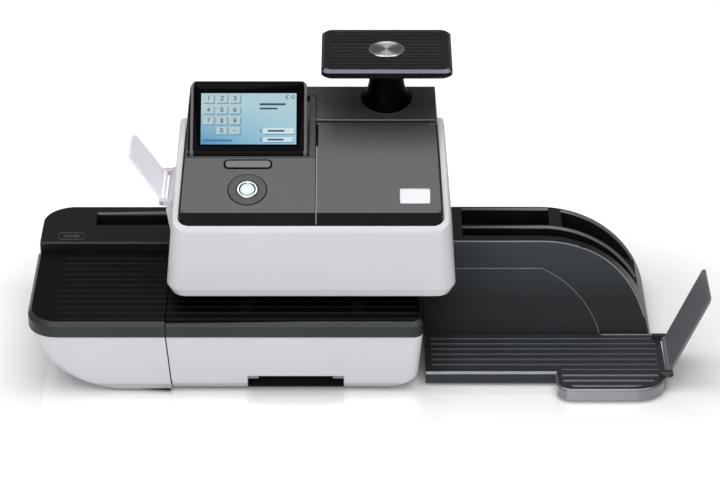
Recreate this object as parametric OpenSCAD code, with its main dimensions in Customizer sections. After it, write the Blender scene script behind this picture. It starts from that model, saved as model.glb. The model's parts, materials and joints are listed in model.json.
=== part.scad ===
// Desk postage meter: a feed end and a base that carry mail under a print head,
// a weighing platform on a neck behind the head, and a catch tray on the right.
// Millimetres, +X along the mail's way, +Y to the back, +Z up, origin on the table.

/* [Overall] */
// Width from the feed end to the tip of the stop flap
machine_w = 672; // [640:1:720]
// Depth from the catch tray's lip to the back of the weighing platform
machine_d = 260; // [252:1:280]
// Depth of the housing behind the base's front face
body_d = 222; // [218:1:232]

/* [Base] */
// Length of base and feed end together
base_l = 390; // [380:1:400]
// Length of the feed end, left of the seam
feed_l = 137; // [125:1:150]
// Height of the rubber feet
foot_h = 2.5; // [2:0.5:4]
// Radius of the rubber feet
foot_r = 9; // [6:0.5:11]
// Height of the white shells' top edge above the table
shell_top = 62; // [58:1:66]
// Height of the deck that mail slides on
deck_z = 78; // [75:1:82]
// Height of the dark trim band below the deck's chamfer
trim_h = 12; // [8:1:14]
// Wall of the white base shells
shell_wall = 2.5; // [2:0.1:4]
// Radius of the boat-shaped feed end, seen from the front
hull_r = 68; // [64:1:72]
// Plan radius of the feed end's corners
corner_r = 30; // [20:1:34]
// Distance from the base's front face to the mail guide
guide_y = 145; // [138:1:150]
// Height of the guide blocks' flat top
block_top = 87.5; // [85:0.5:95]
// Width of the finger recess in the base's front
recess_w = 95; // [80:1:110]
// Height of the finger recess above the table
recess_top = 17; // [15:0.5:22]
// Depth of the finger recess
recess_d = 20; // [14:1:26]
// Spacing of the deck's low ribs
deck_rib_pitch = 11; // [9:0.5:14]

/* [Head] */
// Centre of the head, from the middle of the machine
head_x = -56.1; // [-62:0.1:-54]
// Width of the head at its bottom edge
head_w = 286; // [280:1:292]
// Length of the head's white side walls
head_d = 143; // [136:1:148]
// Gap for mail between deck and head
mail_gap = 16; // [14:1:20]
// Distance from the base's front face to the head's front
head_setback = 24; // [20:1:28]
// Height of the head's white front
front_h = 67; // [62:1:72]
// Lean of the front face
front_lean = 10; // [6:1:12]
// Draft of the side walls
side_draft = 5; // [4:0.5:6]
// Wall of the head shell
head_wall = 3; // [2.5:0.1:4]
// Width of the white rim beside the dark covers
rim_w = 7; // [6:0.5:9]
// Height of the dark band above the white rim
band_h = 10.4; // [8:0.2:13]
// Slope of the operating panel
panel_slope = 23.5; // [21:0.5:26]
// Length of the sloped panel, front edge to rear seam
panel_len = 117; // [114:1:120]
// Thickness of the dark covers
cover_t = 3; // [2.5:0.1:3.5]
// Radius of the rear cover's crown
crown_r = 120; // [110:1:140]
// Seam between control panel and ink cover, from the middle of the machine
seam_x = -51.8; // [-54:0.1:-50]

/* [Controls] */
// Width of the display
display_w = 116; // [110:1:118]
// Length of the display along its face
display_l = 80; // [76:1:82]
// Thickness of the display
display_t = 12; // [11:0.5:13]
// Angle of the display above the table
display_angle = 43.5; // [35:0.5:55]
// Distance along the panel from its front edge to the display's hinge
display_s = 78.5; // [77:0.5:80]
// Radius of the round start key
start_r = 19; // [15:0.5:21]
// Distance along the panel from its front edge to the start key
start_s = 29; // [26:0.5:32]
// Length of the display's release key
release_l = 46.5; // [36:0.5:52]
// Width of the display's release key
release_w = 10.6; // [8:0.2:12]
// Distance along the panel from its front edge to the release key
release_s = 61; // [58:0.5:62]

/* [Weighing platform] */
// Width of the weighing platform
platform_w = 130; // [120:1:140]
// Depth of the weighing platform
platform_d = 98; // [92:1:104]
// Height of the platform's top above the table
platform_z = 285; // [280:1:295]
// Thickness of the platform
platform_t = 11; // [9:0.5:13]
// Distance from the head's right side to the neck
neck_in = 68.3; // [62:0.1:76]
// Radius of the neck's column
neck_r = 17.5; // [15:0.5:19]

/* [Catch tray] */
// Reach of the tray's lip in front of the base
lip_reach = 22; // [18:1:26]
// Height of the tray's floor
tray_z = 15; // [13:0.5:17]
// Setback of the finger notch behind the lip
notch_d = 33; // [26:1:38]
// Place of the notch's right end, from the middle of the machine
notch_x = 186; // [176:1:194]
// Distance from the base's front face to the tray's back wall
wall_y = 148; // [146:1:151]
// Radius of the cove between floor and back wall
cove_r = 62; // [56:1:64]
// Radius of the back block's falling end
fall_r = 114; // [110:1:118]
// Place where the back block starts to fall, from the middle of the machine
fall_x = 178; // [172:1:184]
// Length of the stop flap
flap_l = 90; // [80:1:95]
// Depth of the stop flap
flap_d = 64; // [54:1:68]
// Angle of the stop flap above the table
flap_angle = 66.5; // [62:0.5:72]

/* [Label tray] */
// Length of the label tray's leaf
leaf_l = 57; // [50:1:60]
// Depth of the label tray's leaf
leaf_d = 58; // [50:1:60]
// Angle of the label tray above the table
leaf_angle = 56.5; // [50:0.5:62]
// Height of the label tray's pin
leaf_z = 166; // [160:1:170]

/* [Hidden] */
$fn = 64;
// Gap between parts that are fixed to each other
seat = 0.3;
// Gap round parts that move
play = 0.5;
// Radial clearance of a shaft in its bore
run_fit = 0.05;
// Overshoot of cuts past the face they open
past = 1;

// Main planes
left_x = -machine_w / 2;
right_x = machine_w / 2;
front_y = -machine_d / 2 + lip_reach;
rear_y = front_y + body_d;
guide_face = front_y + guide_y;
base_x = left_x + base_l;
feed_x = left_x + feed_l;

// Base
trim_over = 2;
seam_lean = 5;
deck_t = 3;
pan_t = 3;
pan_top = foot_h + pan_t;
pan_edge = 5;
pan_x0 = left_x + hull_r + 10;
pan_x1 = base_x - 29;
trim_inset = 3.5;
recess_x0 = feed_x + 80;
recess_x1 = recess_x0 + recess_w;
recess_y = front_y + shell_wall + 4 + seat;
liner_t = 1.6;
screw_r = 1.7;
screw_head_r = 3.2;
screw_head_h = 1.6;
screw_l = 8;
pan_screw_points = [for (x = [pan_x0 + 30, pan_x1 - 30]) for (y = [front_y + 20, rear_y - 14]) [x, y]];
post_r = 4.5;
post_h = 20;

// Head planes, measured from the table
head_z = deck_z + mail_gap;
head_y = front_y + head_setback;
head_rear = head_y + head_d;
rim_run = 5.6;
rim_rise = 3.6;
band_run = 6;
front_top_z = head_z + front_h;
front_top_y = head_y + front_h * tan(front_lean);
rim_y = front_top_y + rim_run;
rim_z = front_top_z + rim_rise;
panel_y = rim_y + band_run;
panel_z = rim_z + band_h;
band_angle = atan2(band_h, band_run);
seam_y = panel_y + panel_len * cos(panel_slope);
seam_z = panel_z + panel_len * sin(panel_slope);
crown_y = seam_y + crown_r * sin(panel_slope);
crown_z = seam_z + crown_r * (1 - cos(panel_slope));
cover_rear = rear_y - 4;
cover_low = seam_z - 17;
foot_rise = 8.5;
foot_run = 6;
toe_run = 0.8;
head_corner_r = 14;
cover_corner_r = 10;
base_plate_w = head_w - 2 * foot_run - 2 * head_wall - 2;
skirt_n = band_run * sin(panel_slope) - band_h * cos(panel_slope) - 1.6;

// Display and its bay
display_x = (head_x - head_half(seam_z) + rim_w + seam_x) / 2 - 2.4;
display_n = -3.8;
bay_depth = 12;
bay_wall = 2;
bay_half = display_w / 2 + 2.3;
bay_front = display_s - display_t / 2 - 1;
bay_rear = display_s + display_l - display_t / 2 + 2;
bay_floor_t = 2.5;
pivot_y = panel_y + display_s * cos(panel_slope) - display_n * sin(panel_slope);
pivot_z = panel_z + display_s * sin(panel_slope) + display_n * cos(panel_slope);
pivot_r = 2.5;
panel_end = bay_front - bay_wall - seat;
glass_t = 2;
frame_w = 3;
lcd = [95, 54];
lcd_low = 13 - display_t / 2;
lens_r = 10.8;

// Hinge of the ink cover, its barrel ending at the rear seam
barrel_r = 3;
ink_pin_r = 1.5;
ink_s = panel_len - barrel_r;
ink_n = -barrel_r - 0.2;
lug_w = 6;
ink_x1 = head_x + head_half(seam_z) - rim_w - play;
lug_x = [seam_x + play + lug_w / 2, ink_x1 - 0.5 - lug_w / 2];

// Paper transport below the deck
roller_r = 12.6;
roller_z = deck_z + 0.6 - roller_r;
roller_x = [feed_x + 79, feed_x + 189];
tyre_y = [front_y + 63, front_y + 103];
tyre_w = 16;
shaft_r = 4;
frame_y = [front_y + 36, front_y + 122];
frame_t = 3;
bush_r = 6.5;
pulley_r = 7;
pulley_w = 8;
belt_t = 1.2;
belt_gap = 0.3;
motor_r = 18;
motor_x = (roller_x[0] + roller_x[1]) / 2;
motor_z = roller_z - 32;

// Pressure rollers and their sprung carrier in the head
nip = 0.5;
press_r = 8;
press_z = deck_z + 0.6 + nip + press_r;
press_axle_r = 2.5;
carrier_lift = 5;
carrier_t = 4;
carrier_lip = 4;
plate_t = 3;
carrier_z = head_z + plate_t + seat;
window_x = [roller_x[0] - 14, roller_x[1] + 14];
window_y = [tyre_y[0] - 17, tyre_y[1] + 17];
print_x = (roller_x[0] + roller_x[1]) / 2;
print_w = 40;

// Weighing gear
neck_x = head_x + head_w / 2 - neck_in;
neck_y = rear_y - 33;
platform_y = machine_d / 2 - platform_d / 2;
platform_low = platform_z - platform_t;
boss_z = crown_z + 0.4;
boss_r = 26;
stem_r = 8;
stem_gap = 0.6;
sink = 0.8;
cell_top = cover_low + 3;
cell_h = 18;
cell_w = 20;
shelf_t = 4;
shelf_z = cell_top - cell_h - 10 - shelf_t;
disc_r = 17.9;
disc_t = 1;
platform_rib = 0.8;

// Mains inlet
inlet_x = head_x - 80;
inlet_z = shell_top + 50;
inlet_w = 28;
inlet_h = 21;

// Catch tray
tray_x = base_x + 3;
tray_front = front_y - lip_reach;
wall_face = front_y + wall_y;
cove_y = wall_face - cove_r;
cove_z = tray_z + cove_r;
fall_z = block_top - fall_r;
flap_barrel = 3.2;
flap_t = 2.5;
flap_pin_r = 1.6;
flap_axis_x = right_x - flap_l * cos(flap_angle) - flap_t / 2 * sin(flap_angle);
floor_rib = 1;
flap_axis_z = tray_z + floor_rib + flap_t / 2 + play;
flap_y0 = front_y + 7;
tray_edge = flap_axis_x - flap_barrel - play;

// Label tray
leaf_pin_r = 1.5;
leaf_barrel = 3;
leaf_t = 2.4;
leaf_x = head_x - head_half(leaf_z) - 11.2;
leaf_y = front_y + 90;
bracket_drop = 33;
ear_w = 6;

// Lean of the seam between feed end and base at a height
function lean(z) = seam_lean * (shell_top - z) / (shell_top - foot_h);

// Half width of the head at a height
function head_half(z) = head_w / 2 - (z - head_z) * tan(side_draft);

// Points of a circular arc
function arc(x, y, r, from, to, steps = 6) =
    [for (i = [0:steps]) let (a = from + (to - from) * i / steps) [x + r * cos(a), y + r * sin(a)]];

// Rounded rectangle as a ring of points: radii in the order
// front left, front right, back right, back left
function ring(x0, x1, y0, y1, r) = concat(
    arc(x0 + r[0], y0 + r[0], r[0], 180, 270),
    arc(x1 - r[1], y0 + r[1], r[1], 270, 360),
    arc(x1 - r[2], y1 - r[2], r[2], 0, 90),
    arc(x0 + r[3], y1 - r[3], r[3], 90, 180));

// Solid through rings of equal count: each level is [height, ring]
module loft(levels) {
    n = len(levels[0][1]);
    top = len(levels) - 1;
    points = [for (l = levels) for (p = l[1]) [p[0], p[1], l[0]]];
    sides = [for (k = [0:top - 1]) for (i = [0:n - 1])
        [k * n + i, (k + 1) * n + i, (k + 1) * n + (i + 1) % n, k * n + (i + 1) % n]];
    floor_cap = [for (i = [0:n - 1]) i];
    roof_cap = [for (i = [n - 1:-1:0]) top * n + i];
    polyhedron(points, concat([floor_cap], sides, [roof_cap]), convexity = 6);
}

// Block between two corners
module span(low, high) {
    translate(low) cube(high - low);
}

// Children drawn in the YZ plane, extruded along X from x0 to x1
module along_x(x0, x1) {
    translate([x0, 0, 0]) rotate([90, 0, 90]) linear_extrude(x1 - x0) children();
}

// Children drawn in the XZ plane, extruded along Y from y0 to y1
module along_y(y0, y1) {
    translate([0, y1, 0]) rotate([90, 0, 0]) linear_extrude(y1 - y0) children();
}

// Round rod along X
module rod_x(x0, x1, y, z, r) {
    translate([x0, y, z]) rotate([0, 90, 0]) cylinder(h = x1 - x0, r = r);
}

// Round rod along Y
module rod_y(x, z, y0, y1, r) {
    translate([x, y0, z]) rotate([-90, 0, 0]) cylinder(h = y1 - y0, r = r);
}

// Children placed on the sloped panel: X, then up the slope, then off its face
module on_panel() {
    translate([0, panel_y, panel_z]) rotate([panel_slope, 0, 0]) children();
}

// Children placed in the display's own frame, its hinge at the origin
module on_display() {
    translate([display_x, pivot_y, pivot_z]) rotate([display_angle, 0, 0]) children();
}

// Flat rounded rectangle with true arcs
module rounded(w, h, r) {
    square([w - 2 * r, h], center = true);
    square([w, h - 2 * r], center = true);
    for (x = [-1, 1]) for (y = [-1, 1])
        translate([x * (w / 2 - r), y * (h / 2 - r)]) circle(r);
}

// Levels of the feed end: its left side follows the boat-shaped arc
function feed_levels(wall, z0) = let (
    r = hull_r - wall,
    zc = foot_h - 0.5 + hull_r,
    xc = left_x + trim_over + hull_r,
    from = acos((zc - z0) / r),
    to = acos((zc - shell_top - (wall > 0 ? past : 0)) / r),
    steps = 7)
    [for (i = [0:steps]) let (a = from + (to - from) * i / steps)
        let (z = zc - r * cos(a))
        [z, ring(xc - r * sin(a), feed_x - seat - wall + lean(z), front_y + wall, rear_y - wall,
            [corner_r, 0.6, 0.6, corner_r])]];

// Levels of the base: its right end draws in towards the foot, its front only at the toe
function base_levels(wall, z0) = [
    for (l = [[foot_h, 24, 4], [5, 17, 2.4], [8.5, 11, 0.8], [13, 6.5, 0], [18, 4.5, 0], [shell_top, 0, 0]])
        let (z = max(l[0], z0) + (wall > 0 && l[0] == shell_top ? past : 0))
        if (l[0] >= z0 || l[0] == foot_h)
        [z, ring(feed_x + seat + wall + lean(z), base_x - l[1] - wall, front_y + l[2] + wall, rear_y - wall,
            [0.6, 9, 3, 0.6])]];

module pan_opening() {
    span([pan_x0 - seat, front_y + pan_edge - seat, foot_h - past],
        [pan_x1 + seat, rear_y - pan_edge + seat, pan_top + seat]);
}

// Posts for the bottom plate's screws, each with a rib to the skirt
module screw_posts(x0, x1) {
    rib = 2.4;
    for (p = pan_screw_points) if (p[0] > x0 && p[0] < x1) difference() {
        union() {
            translate([p[0], p[1], pan_top + seat]) cylinder(h = post_h, r = post_r);
            span([p[0] - rib / 2, p[1] < 0 ? front_y + shell_wall - past : p[1], pan_top + 8],
                [p[0] + rib / 2, p[1] < 0 ? p[1] : rear_y - shell_wall + past, pan_top + post_h]);
        }
        translate([p[0], p[1], pan_top]) cylinder(h = screw_l, r = screw_r + run_fit);
    }
}

// White feed end, a skirt with a boat-shaped left end
module feed_shell() {
    color("gainsboro") {
        difference() {
            loft(feed_levels(0, foot_h));
            loft(feed_levels(shell_wall, pan_top + seat));
            pan_opening();
        }
        screw_posts(left_x, feed_x);
    }
}

// White skirt of the base with the finger recess at its foot
module base_shell() {
    color("gainsboro") {
        difference() {
            loft(base_levels(0, foot_h));
            loft(base_levels(shell_wall, pan_top + seat));
            pan_opening();
            span([recess_x0, front_y - past, foot_h - past],
                [recess_x1, recess_y, recess_top]);
        }
        screw_posts(feed_x, base_x);
    }
}

// Dark pocket behind the finger recess
module recess_liner() {
    color("dimgray") difference() {
        span([recess_x0 - liner_t, recess_y, pan_top],
            [recess_x1 + liner_t, recess_y + recess_d, recess_top + liner_t]);
        span([recess_x0, recess_y - past, pan_top - past],
            [recess_x1, recess_y + recess_d - liner_t, recess_top]);
    }
}

// Bottom plate, with the screw holes
module base_pan() {
    color("dimgray") difference() {
        span([pan_x0, front_y + pan_edge, foot_h], [pan_x1, rear_y - pan_edge, pan_top]);
        span([recess_x0 - seat, front_y, foot_h - past],
            [recess_x1 + seat, recess_y + recess_d - liner_t, pan_top + past]);
        for (p = pan_screw_points) translate([p[0], p[1], foot_h - past]) {
            cylinder(h = pan_t + 2 * past, r = screw_r + run_fit);
            cylinder(h = screw_head_h + past, r = screw_head_r + run_fit);
        }
    }
}

module pan_screws() {
    color("silver") for (p = pan_screw_points) translate([p[0], p[1], foot_h]) {
        cylinder(h = screw_head_h, r = screw_head_r);
        cylinder(h = screw_l, r = screw_r);
    }
}

// Rubber feet under pan, tray floor and back block
module rubber_feet() {
    inset = foot_r + 4;
    points = [
        [pan_x0 + inset, front_y + pan_edge + inset], [pan_x0 + inset, rear_y - pan_edge - inset],
        [pan_x1 - inset, front_y + pan_edge + inset], [pan_x1 - inset, rear_y - pan_edge - inset],
        [tray_edge - 30, tray_front + 30], [notch_x + 20, tray_front + 30],
        [tray_x + 25, rear_y - 20], [fall_x + 60, rear_y - 20]];
    color("black") for (p = points) translate([p[0], p[1], 0]) cylinder(h = foot_h, r = foot_r);
}

// Levels of a deck's trim: vertical band, then the chamfer up to the deck
function deck_levels(x0, x1, left_in, right_in, r) = [
    for (l = [[shell_top, 0], [shell_top + trim_h, 0], [deck_z, trim_inset]])
        [l[0], ring(x0 + l[1] * left_in, x1 - l[1] * right_in, front_y - 1 + l[1], guide_face, r)]];

// Hollow under a deck, leaving its skirt and its plate
module deck_hollow(x0, x1, left_r) {
    span([x0 + shell_wall, front_y + left_r, shell_top - past],
        [x1 - shell_wall, guide_face - shell_wall, deck_z - deck_t]);
    span([x0 + left_r, front_y + shell_wall + trim_inset, shell_top - past],
        [x1 - shell_wall, front_y + left_r + past, deck_z - deck_t]);
}

// Low ribs that mail slides on, all along X
module deck_ribs(x0, x1) {
    rib_w = 1.6;
    rib_h = 0.6;
    count = floor((guide_y - 20) / deck_rib_pitch);
    for (i = [0:count])
        translate([x0, front_y + 8 + i * deck_rib_pitch, deck_z - past])
            cube([x1 - x0, rib_w, rib_h + past]);
}

module feed_deck() {
    color("darkslategray") {
        difference() {
            loft(deck_levels(left_x, feed_x - seat, 1, 0, [corner_r, 0.6, 0.6, 1]));
            deck_hollow(left_x, feed_x - seat, corner_r);
        }
        deck_ribs(left_x + corner_r, feed_x - seat);
    }
}

module base_deck() {
    slot_play = 2;
    color("darkslategray") difference() {
        union() {
            difference() {
                loft(deck_levels(feed_x + seat, base_x, 0, 1, [0.6, 10, 3, 0.6]));
                deck_hollow(feed_x + seat, base_x, 12);
            }
            deck_ribs(feed_x + seat, base_x - 6);
        }
        for (x = roller_x) for (y = tyre_y)
            span([x - roller_r - slot_play, y - tyre_w / 2 - slot_play, deck_z - deck_t - past],
                [x + roller_r + slot_play, y + tyre_w / 2 + slot_play, deck_z + 2 * past]);
    }
}

// Back block of the feed end: mail guide in front, a long pocket on top
module feed_guide_block() {
    x1 = feed_x - seat;
    x0 = left_x + trim_over;
    rear_r = 32;
    pocket_y = guide_face + 38;
    pocket_w = 26;
    pocket_d = 18;
    wall = 4;
    color("#222426") difference() {
        translate([0, 0, shell_top]) linear_extrude(block_top - shell_top) {
            translate([x0, guide_face + seat]) square([x1 - x0, rear_y - rear_r - guide_face - seat]);
            translate([x0 + rear_r, rear_y - rear_r - past]) square([x1 - x0 - rear_r, rear_r + past]);
            translate([x0 + rear_r, rear_y - rear_r]) circle(rear_r);
        }
        span([x0 + 54, pocket_y, block_top - pocket_d], [x1 - wall, pocket_y + pocket_w, block_top + past]);
        span([x0 + wall, guide_face + seat + wall, shell_top - past],
            [x1 - wall, pocket_y - wall, block_top - wall]);
    }
}

// Side plates that carry the transport shafts, standing on the pan
module roller_frame() {
    x0 = roller_x[0] - 20;
    x1 = roller_x[1] + 20;
    tie_z = pan_top + 2;
    color("silver") difference() {
        union() {
            for (y = frame_y)
                span([x0, y, pan_top], [x1, y + frame_t, roller_z + bush_r + 2]);
            for (x = [x0, x1 - frame_t])
                span([x, frame_y[0], pan_top], [x + frame_t, frame_y[1] + frame_t, tie_z]);
        }
        for (x = roller_x)
            rod_y(x, roller_z, frame_y[0] - past, frame_y[1] + frame_t + past, bush_r);
        rod_y(motor_x, motor_z, frame_y[1] - past, frame_y[1] + frame_t + past, shaft_r + 2 + run_fit);
    }
}

// Plain bushes pressed into the side plates
module shaft_bushes() {
    flange = 1.5;
    color("goldenrod") for (x = roller_x) for (i = [0, 1]) difference() {
        union() {
            rod_y(x, roller_z, frame_y[i], frame_y[i] + frame_t, bush_r);
            rod_y(x, roller_z, frame_y[i] + (i == 0 ? frame_t : -flange),
                frame_y[i] + (i == 0 ? frame_t + flange : 0), bush_r + 1.5);
        }
        rod_y(x, roller_z, frame_y[i] - flange - past, frame_y[i] + frame_t + flange + past,
            shaft_r + run_fit);
    }
}

// Steel shaft with a belt pulley at its back end
module transport_shaft(x) {
    end = 6;
    color("silver") difference() {
        union() {
            rod_y(x, roller_z, frame_y[0] - end, frame_y[1] + frame_t + 2 + pulley_w, shaft_r);
            rod_y(x, roller_z, frame_y[1] + frame_t + 2, frame_y[1] + frame_t + 2 + pulley_w, pulley_r);
        }
        rod_y(x + shaft_r, roller_z, frame_y[0] - end - past, frame_y[0] - 2, 1);
    }
}

// Two rubber tyres on a transport shaft, reaching through the deck
module transport_tyres(x) {
    color("black") for (y = tyre_y) difference() {
        rod_y(x, roller_z, y - tyre_w / 2, y + tyre_w / 2, roller_r);
        rod_y(x, roller_z, y - tyre_w, y + tyre_w, shaft_r + run_fit);
    }
}

module drive_roller() { transport_shaft(roller_x[0]); }
module drive_tyres() { transport_tyres(roller_x[0]); }
module exit_roller() { transport_shaft(roller_x[1]); }
module exit_tyres() { transport_tyres(roller_x[1]); }

// Motor hung on the back side plate
module feed_motor() {
    body_l = 34;
    color("dimgray") difference() {
        union() {
            rod_y(motor_x, motor_z, frame_y[1] - body_l, frame_y[1], motor_r);
            rod_y(motor_x, motor_z, frame_y[1] - past, frame_y[1] + frame_t, shaft_r + 2);
        }
        rod_y(motor_x, motor_z, frame_y[1] - 10, frame_y[1] + frame_t + past, shaft_r / 2 + run_fit);
    }
}

// Pulley on the motor's shaft
module motor_pulley() {
    y0 = frame_y[1] + frame_t + 2;
    color("silver") {
        rod_y(motor_x, motor_z, frame_y[1] - 9, y0 + pulley_w, shaft_r / 2);
        rod_y(motor_x, motor_z, y0, y0 + pulley_w, pulley_r);
    }
}

// Belt round the three pulleys
module drive_belt() {
    y0 = frame_y[1] + frame_t + 3;
    centres = [[roller_x[0], roller_z], [roller_x[1], roller_z], [motor_x, motor_z]];
    color("black") along_y(y0, y0 + pulley_w - 2) difference() {
        hull() for (c = centres) translate(c) circle(pulley_r + belt_gap + belt_t, $fn = 32);
        hull() for (c = centres) translate(c) circle(pulley_r + belt_gap, $fn = 32);
    }
}

// Circuit board on pillars behind the transport
module main_board() {
    x0 = feed_x + 12;
    y0 = frame_y[1] + frame_t + 22;
    size = [110, 42, 1.6];
    z = pan_top + 12;
    color("darkgreen") {
        translate([x0, y0, z]) cube(size);
        for (x = [5, size[0] - 5]) for (y = [5, size[1] - 5])
            translate([x0 + x, y0 + y, pan_top]) cylinder(h = 12, r = 3);
        translate([x0 + 20, y0 + 8, z + size[2] - past]) cube([24, 24, 3 + past]);
        translate([x0 + 66, y0 + 10, z + size[2] - past]) cube([30, 16, 7 + past]);
    }
}

// Power supply block on the pan
module power_supply() {
    x0 = feed_x + 140;
    y0 = frame_y[1] + frame_t + 22;
    color("silver") difference() {
        translate([x0, y0, pan_top]) cube([74, 44, 34]);
        for (i = [0:7]) translate([x0 + 8 + i * 8, y0 + 6, pan_top + 32]) cube([3, 32, 2 + past]);
    }
}

// Levels of the head: chamfered foot, then leaning front and drafted sides
function head_levels(wall, z0) = let (left = 1 - (z0 - head_z) / foot_rise) [
    [z0, head_ring(z0, foot_run * left + wall, toe_run * left + wall, wall)],
    [head_z + foot_rise, head_ring(head_z + foot_rise, wall, wall, wall)],
    [crown_z + (wall > 0 ? past : 0), head_ring(crown_z, wall, wall, wall)]];

function head_ring(z, side, toe, wall) = let (half = head_half(z) - side)
    ring(head_x - half, head_x + half, head_y + (z - head_z) * tan(front_lean) + toe,
        head_rear - wall, [head_corner_r, head_corner_r, 4, 4]);

// Everything below a sloped line through a point of the YZ plane, lowered by a drop
module below_line(y, z, angle, drop) {
    reach = 600;
    translate([y, z]) rotate(angle) translate([-reach, -reach - drop]) square([2 * reach, reach]);
}

// Side view of the head under its white rim
module rim_profile(drop) {
    intersection() {
        below_line(front_top_y, front_top_z, atan2(rim_rise, rim_run), drop);
        below_line(rim_y, rim_z, panel_slope, drop);
    }
}

// Side view under the dark covers: band, sloped panel, crown, back edge
module roof_profile(drop) {
    back_r = 8;
    low = cover_low - 60;
    intersection() {
        below_line(panel_y, panel_z, band_angle, drop);
        below_line(panel_y, panel_z, panel_slope, drop);
        union() {
            translate([rim_y - 50, low]) square([seam_y - rim_y + 50, crown_z - low]);
            intersection() {
                translate([crown_y, crown_z - crown_r]) circle(crown_r - drop, $fn = 180);
                translate([seam_y - past, low]) square([crown_y - seam_y + past, crown_z - low]);
            }
            translate([crown_y - past, low])
                square([cover_rear - back_r - crown_y + past, crown_z - drop - low]);
            translate([crown_y, low]) square([cover_rear - drop - crown_y, crown_z - back_r - low]);
            translate([cover_rear - back_r, crown_z - back_r]) circle(back_r - drop);
        }
    }
}

// Front view between the drafted sides, drawn in by an inset
module draft_profile(inset, low, high) {
    polygon([[head_x - head_half(low) + inset, low], [head_x + head_half(low) - inset, low],
        [head_x + head_half(high) - inset, high], [head_x - head_half(high) + inset, high]]);
}

// Space of the dark covers in plan, with rounded front corners
module cover_plan(gap) {
    half = head_half(rim_z) - rim_w + gap;
    r = cover_corner_r + gap;
    top = crown_z + 30;
    translate([0, 0, cover_low - 60]) linear_extrude(top - cover_low + 60) {
        translate([head_x - half, rim_y - gap + r]) square([2 * half, rear_y - rim_y + 2 * gap]);
        translate([head_x - half + r, rim_y - gap]) square([2 * (half - r), r + past]);
        for (side = [-1, 1]) translate([head_x + side * (half - r), rim_y - gap + r]) circle(r);
    }
}

// Solid under the dark covers, lowered by a drop
module roof_solid(drop) {
    intersection() {
        along_x(head_x - head_w, head_x + head_w) roof_profile(drop);
        along_y(head_y, rear_y) draft_profile(rim_w + drop, cover_low - 60, crown_z + 10);
        cover_plan(-drop);
    }
}

// Skin of the dark covers
module roof_skin() {
    difference() {
        roof_solid(0);
        roof_solid(cover_t);
    }
}

// Slot in the head's left side that labels come out of
module label_slot() {
    slot_h = 5;
    slot_z = leaf_z + 8;
    slot_y = leaf_y + 6;
    span([head_x - head_w, slot_y, slot_z], [head_x - head_w / 4, slot_y + leaf_d - 12, slot_z + slot_h]);
}

// Outline of the bottom plate, widened by a gap, between two heights
module base_plate(gap, low, high, rear) {
    half = base_plate_w / 2 + gap;
    r = head_corner_r - head_wall + gap;
    edge = ring(head_x - half, head_x + half, head_y + toe_run + head_wall - gap, rear, [r, r, 0.6, 0.6]);
    loft([[low, edge], [high, edge]]);
}

// White hood of the head: front, sides and rim in one moulding
module head_shell() {
    color("gainsboro") difference() {
        intersection() {
            loft(head_levels(0, head_z));
            along_x(head_x - head_w, head_x + head_w) rim_profile(0);
        }
        intersection() {
            loft(head_levels(head_wall, head_z + plate_t));
            along_x(head_x - head_w, head_x + head_w) rim_profile(head_wall);
        }
        intersection() {
            cover_plan(play);
            along_y(head_y, rear_y) draft_profile(rim_w - play, head_z, crown_z + 30);
            span([head_x - head_w, head_y, rim_z - 12], [head_x + head_w, rear_y, crown_z + 20]);
        }
        intersection() {
            along_y(guide_face, rear_y) draft_profile(rim_w - seat, head_z, crown_z);
            span([head_x - head_w, guide_face + seat, head_z - past], [head_x + head_w, rear_y, crown_z]);
        }
        base_plate(seat, head_z - past, head_z + plate_t + past, rear_y);
        label_slot();
    }
}

// Bottom plate of the head, open round the rollers and the print unit
module head_base() {
    color("dimgray") difference() {
        base_plate(0, head_z, head_z + plate_t, guide_face);
        span([window_x[0], window_y[0], head_z - past], [window_x[1], window_y[1], head_z + plate_t + past]);
    }
}

// Dark left half of the operating panel, up to the display's bay
module control_panel() {
    color("dimgray") difference() {
        intersection() {
            roof_skin();
            span([head_x - head_w, head_y, rim_z - 6], [seam_x - play / 2, rear_y, crown_z]);
            on_panel() span([head_x - head_w, -50, -60], [head_x + head_w, panel_end, 20]);
        }
        on_panel() translate([display_x, start_s, -10]) cylinder(h = 20, r = start_r + play);
        on_panel() translate([display_x, release_s, -10]) linear_extrude(20)
            rounded(release_l + 2 * play, release_w + 2 * play, release_w / 2 - past + play);
        label_slot();
    }
}

// Round start key with its stem, pressed into the panel
module start_button() {
    key_t = 6;
    color("#4c4d51") on_panel() translate([display_x, start_s, 0]) difference() {
        union() {
            translate([0, 0, 0.6 - key_t]) cylinder(h = key_t, r = start_r);
            translate([0, 0, -11]) cylinder(h = 8, r = 7);
        }
        translate([0, 0, -1.2]) cylinder(h = 5, r = lens_r + run_fit);
    }
}

// Chrome ring and lit lens in the start key
module start_lens() {
    color("white") on_panel() translate([display_x, start_s, -1.2]) {
        difference() {
            cylinder(h = 2.6, r = lens_r);
            translate([0, 0, 1.8]) cylinder(h = 2, r = lens_r - 2);
        }
    }
}

// Switch board under the panel's two keys
module key_board() {
    drop = 15;
    t = 1.6;
    color("darkgreen") on_panel() difference() {
        union() {
            span([display_x - 45, start_s - 16, -drop], [display_x + 45, release_s + 4, t - drop]);
            translate([display_x, start_s, -drop]) cylinder(h = t + 0.1, r = 5);
        }
        translate([display_x - 36, start_s, -drop - past]) cylinder(h = 5, r = 2);
    }
    color("darkgreen") on_panel() for (x = [-38, 38]) for (s = [start_s - 10, release_s - 2])
        translate([display_x + x, s, t - drop]) cylinder(h = drop - t - cover_t, r = 3);
}

// Long key below the display that lets it tilt
module display_release_key() {
    key_t = 6;
    color("#4c4d51") on_panel() translate([display_x, release_s, 0.8 - key_t]) linear_extrude(key_t)
        rounded(release_l, release_w, release_w / 2 - past);
}

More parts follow.
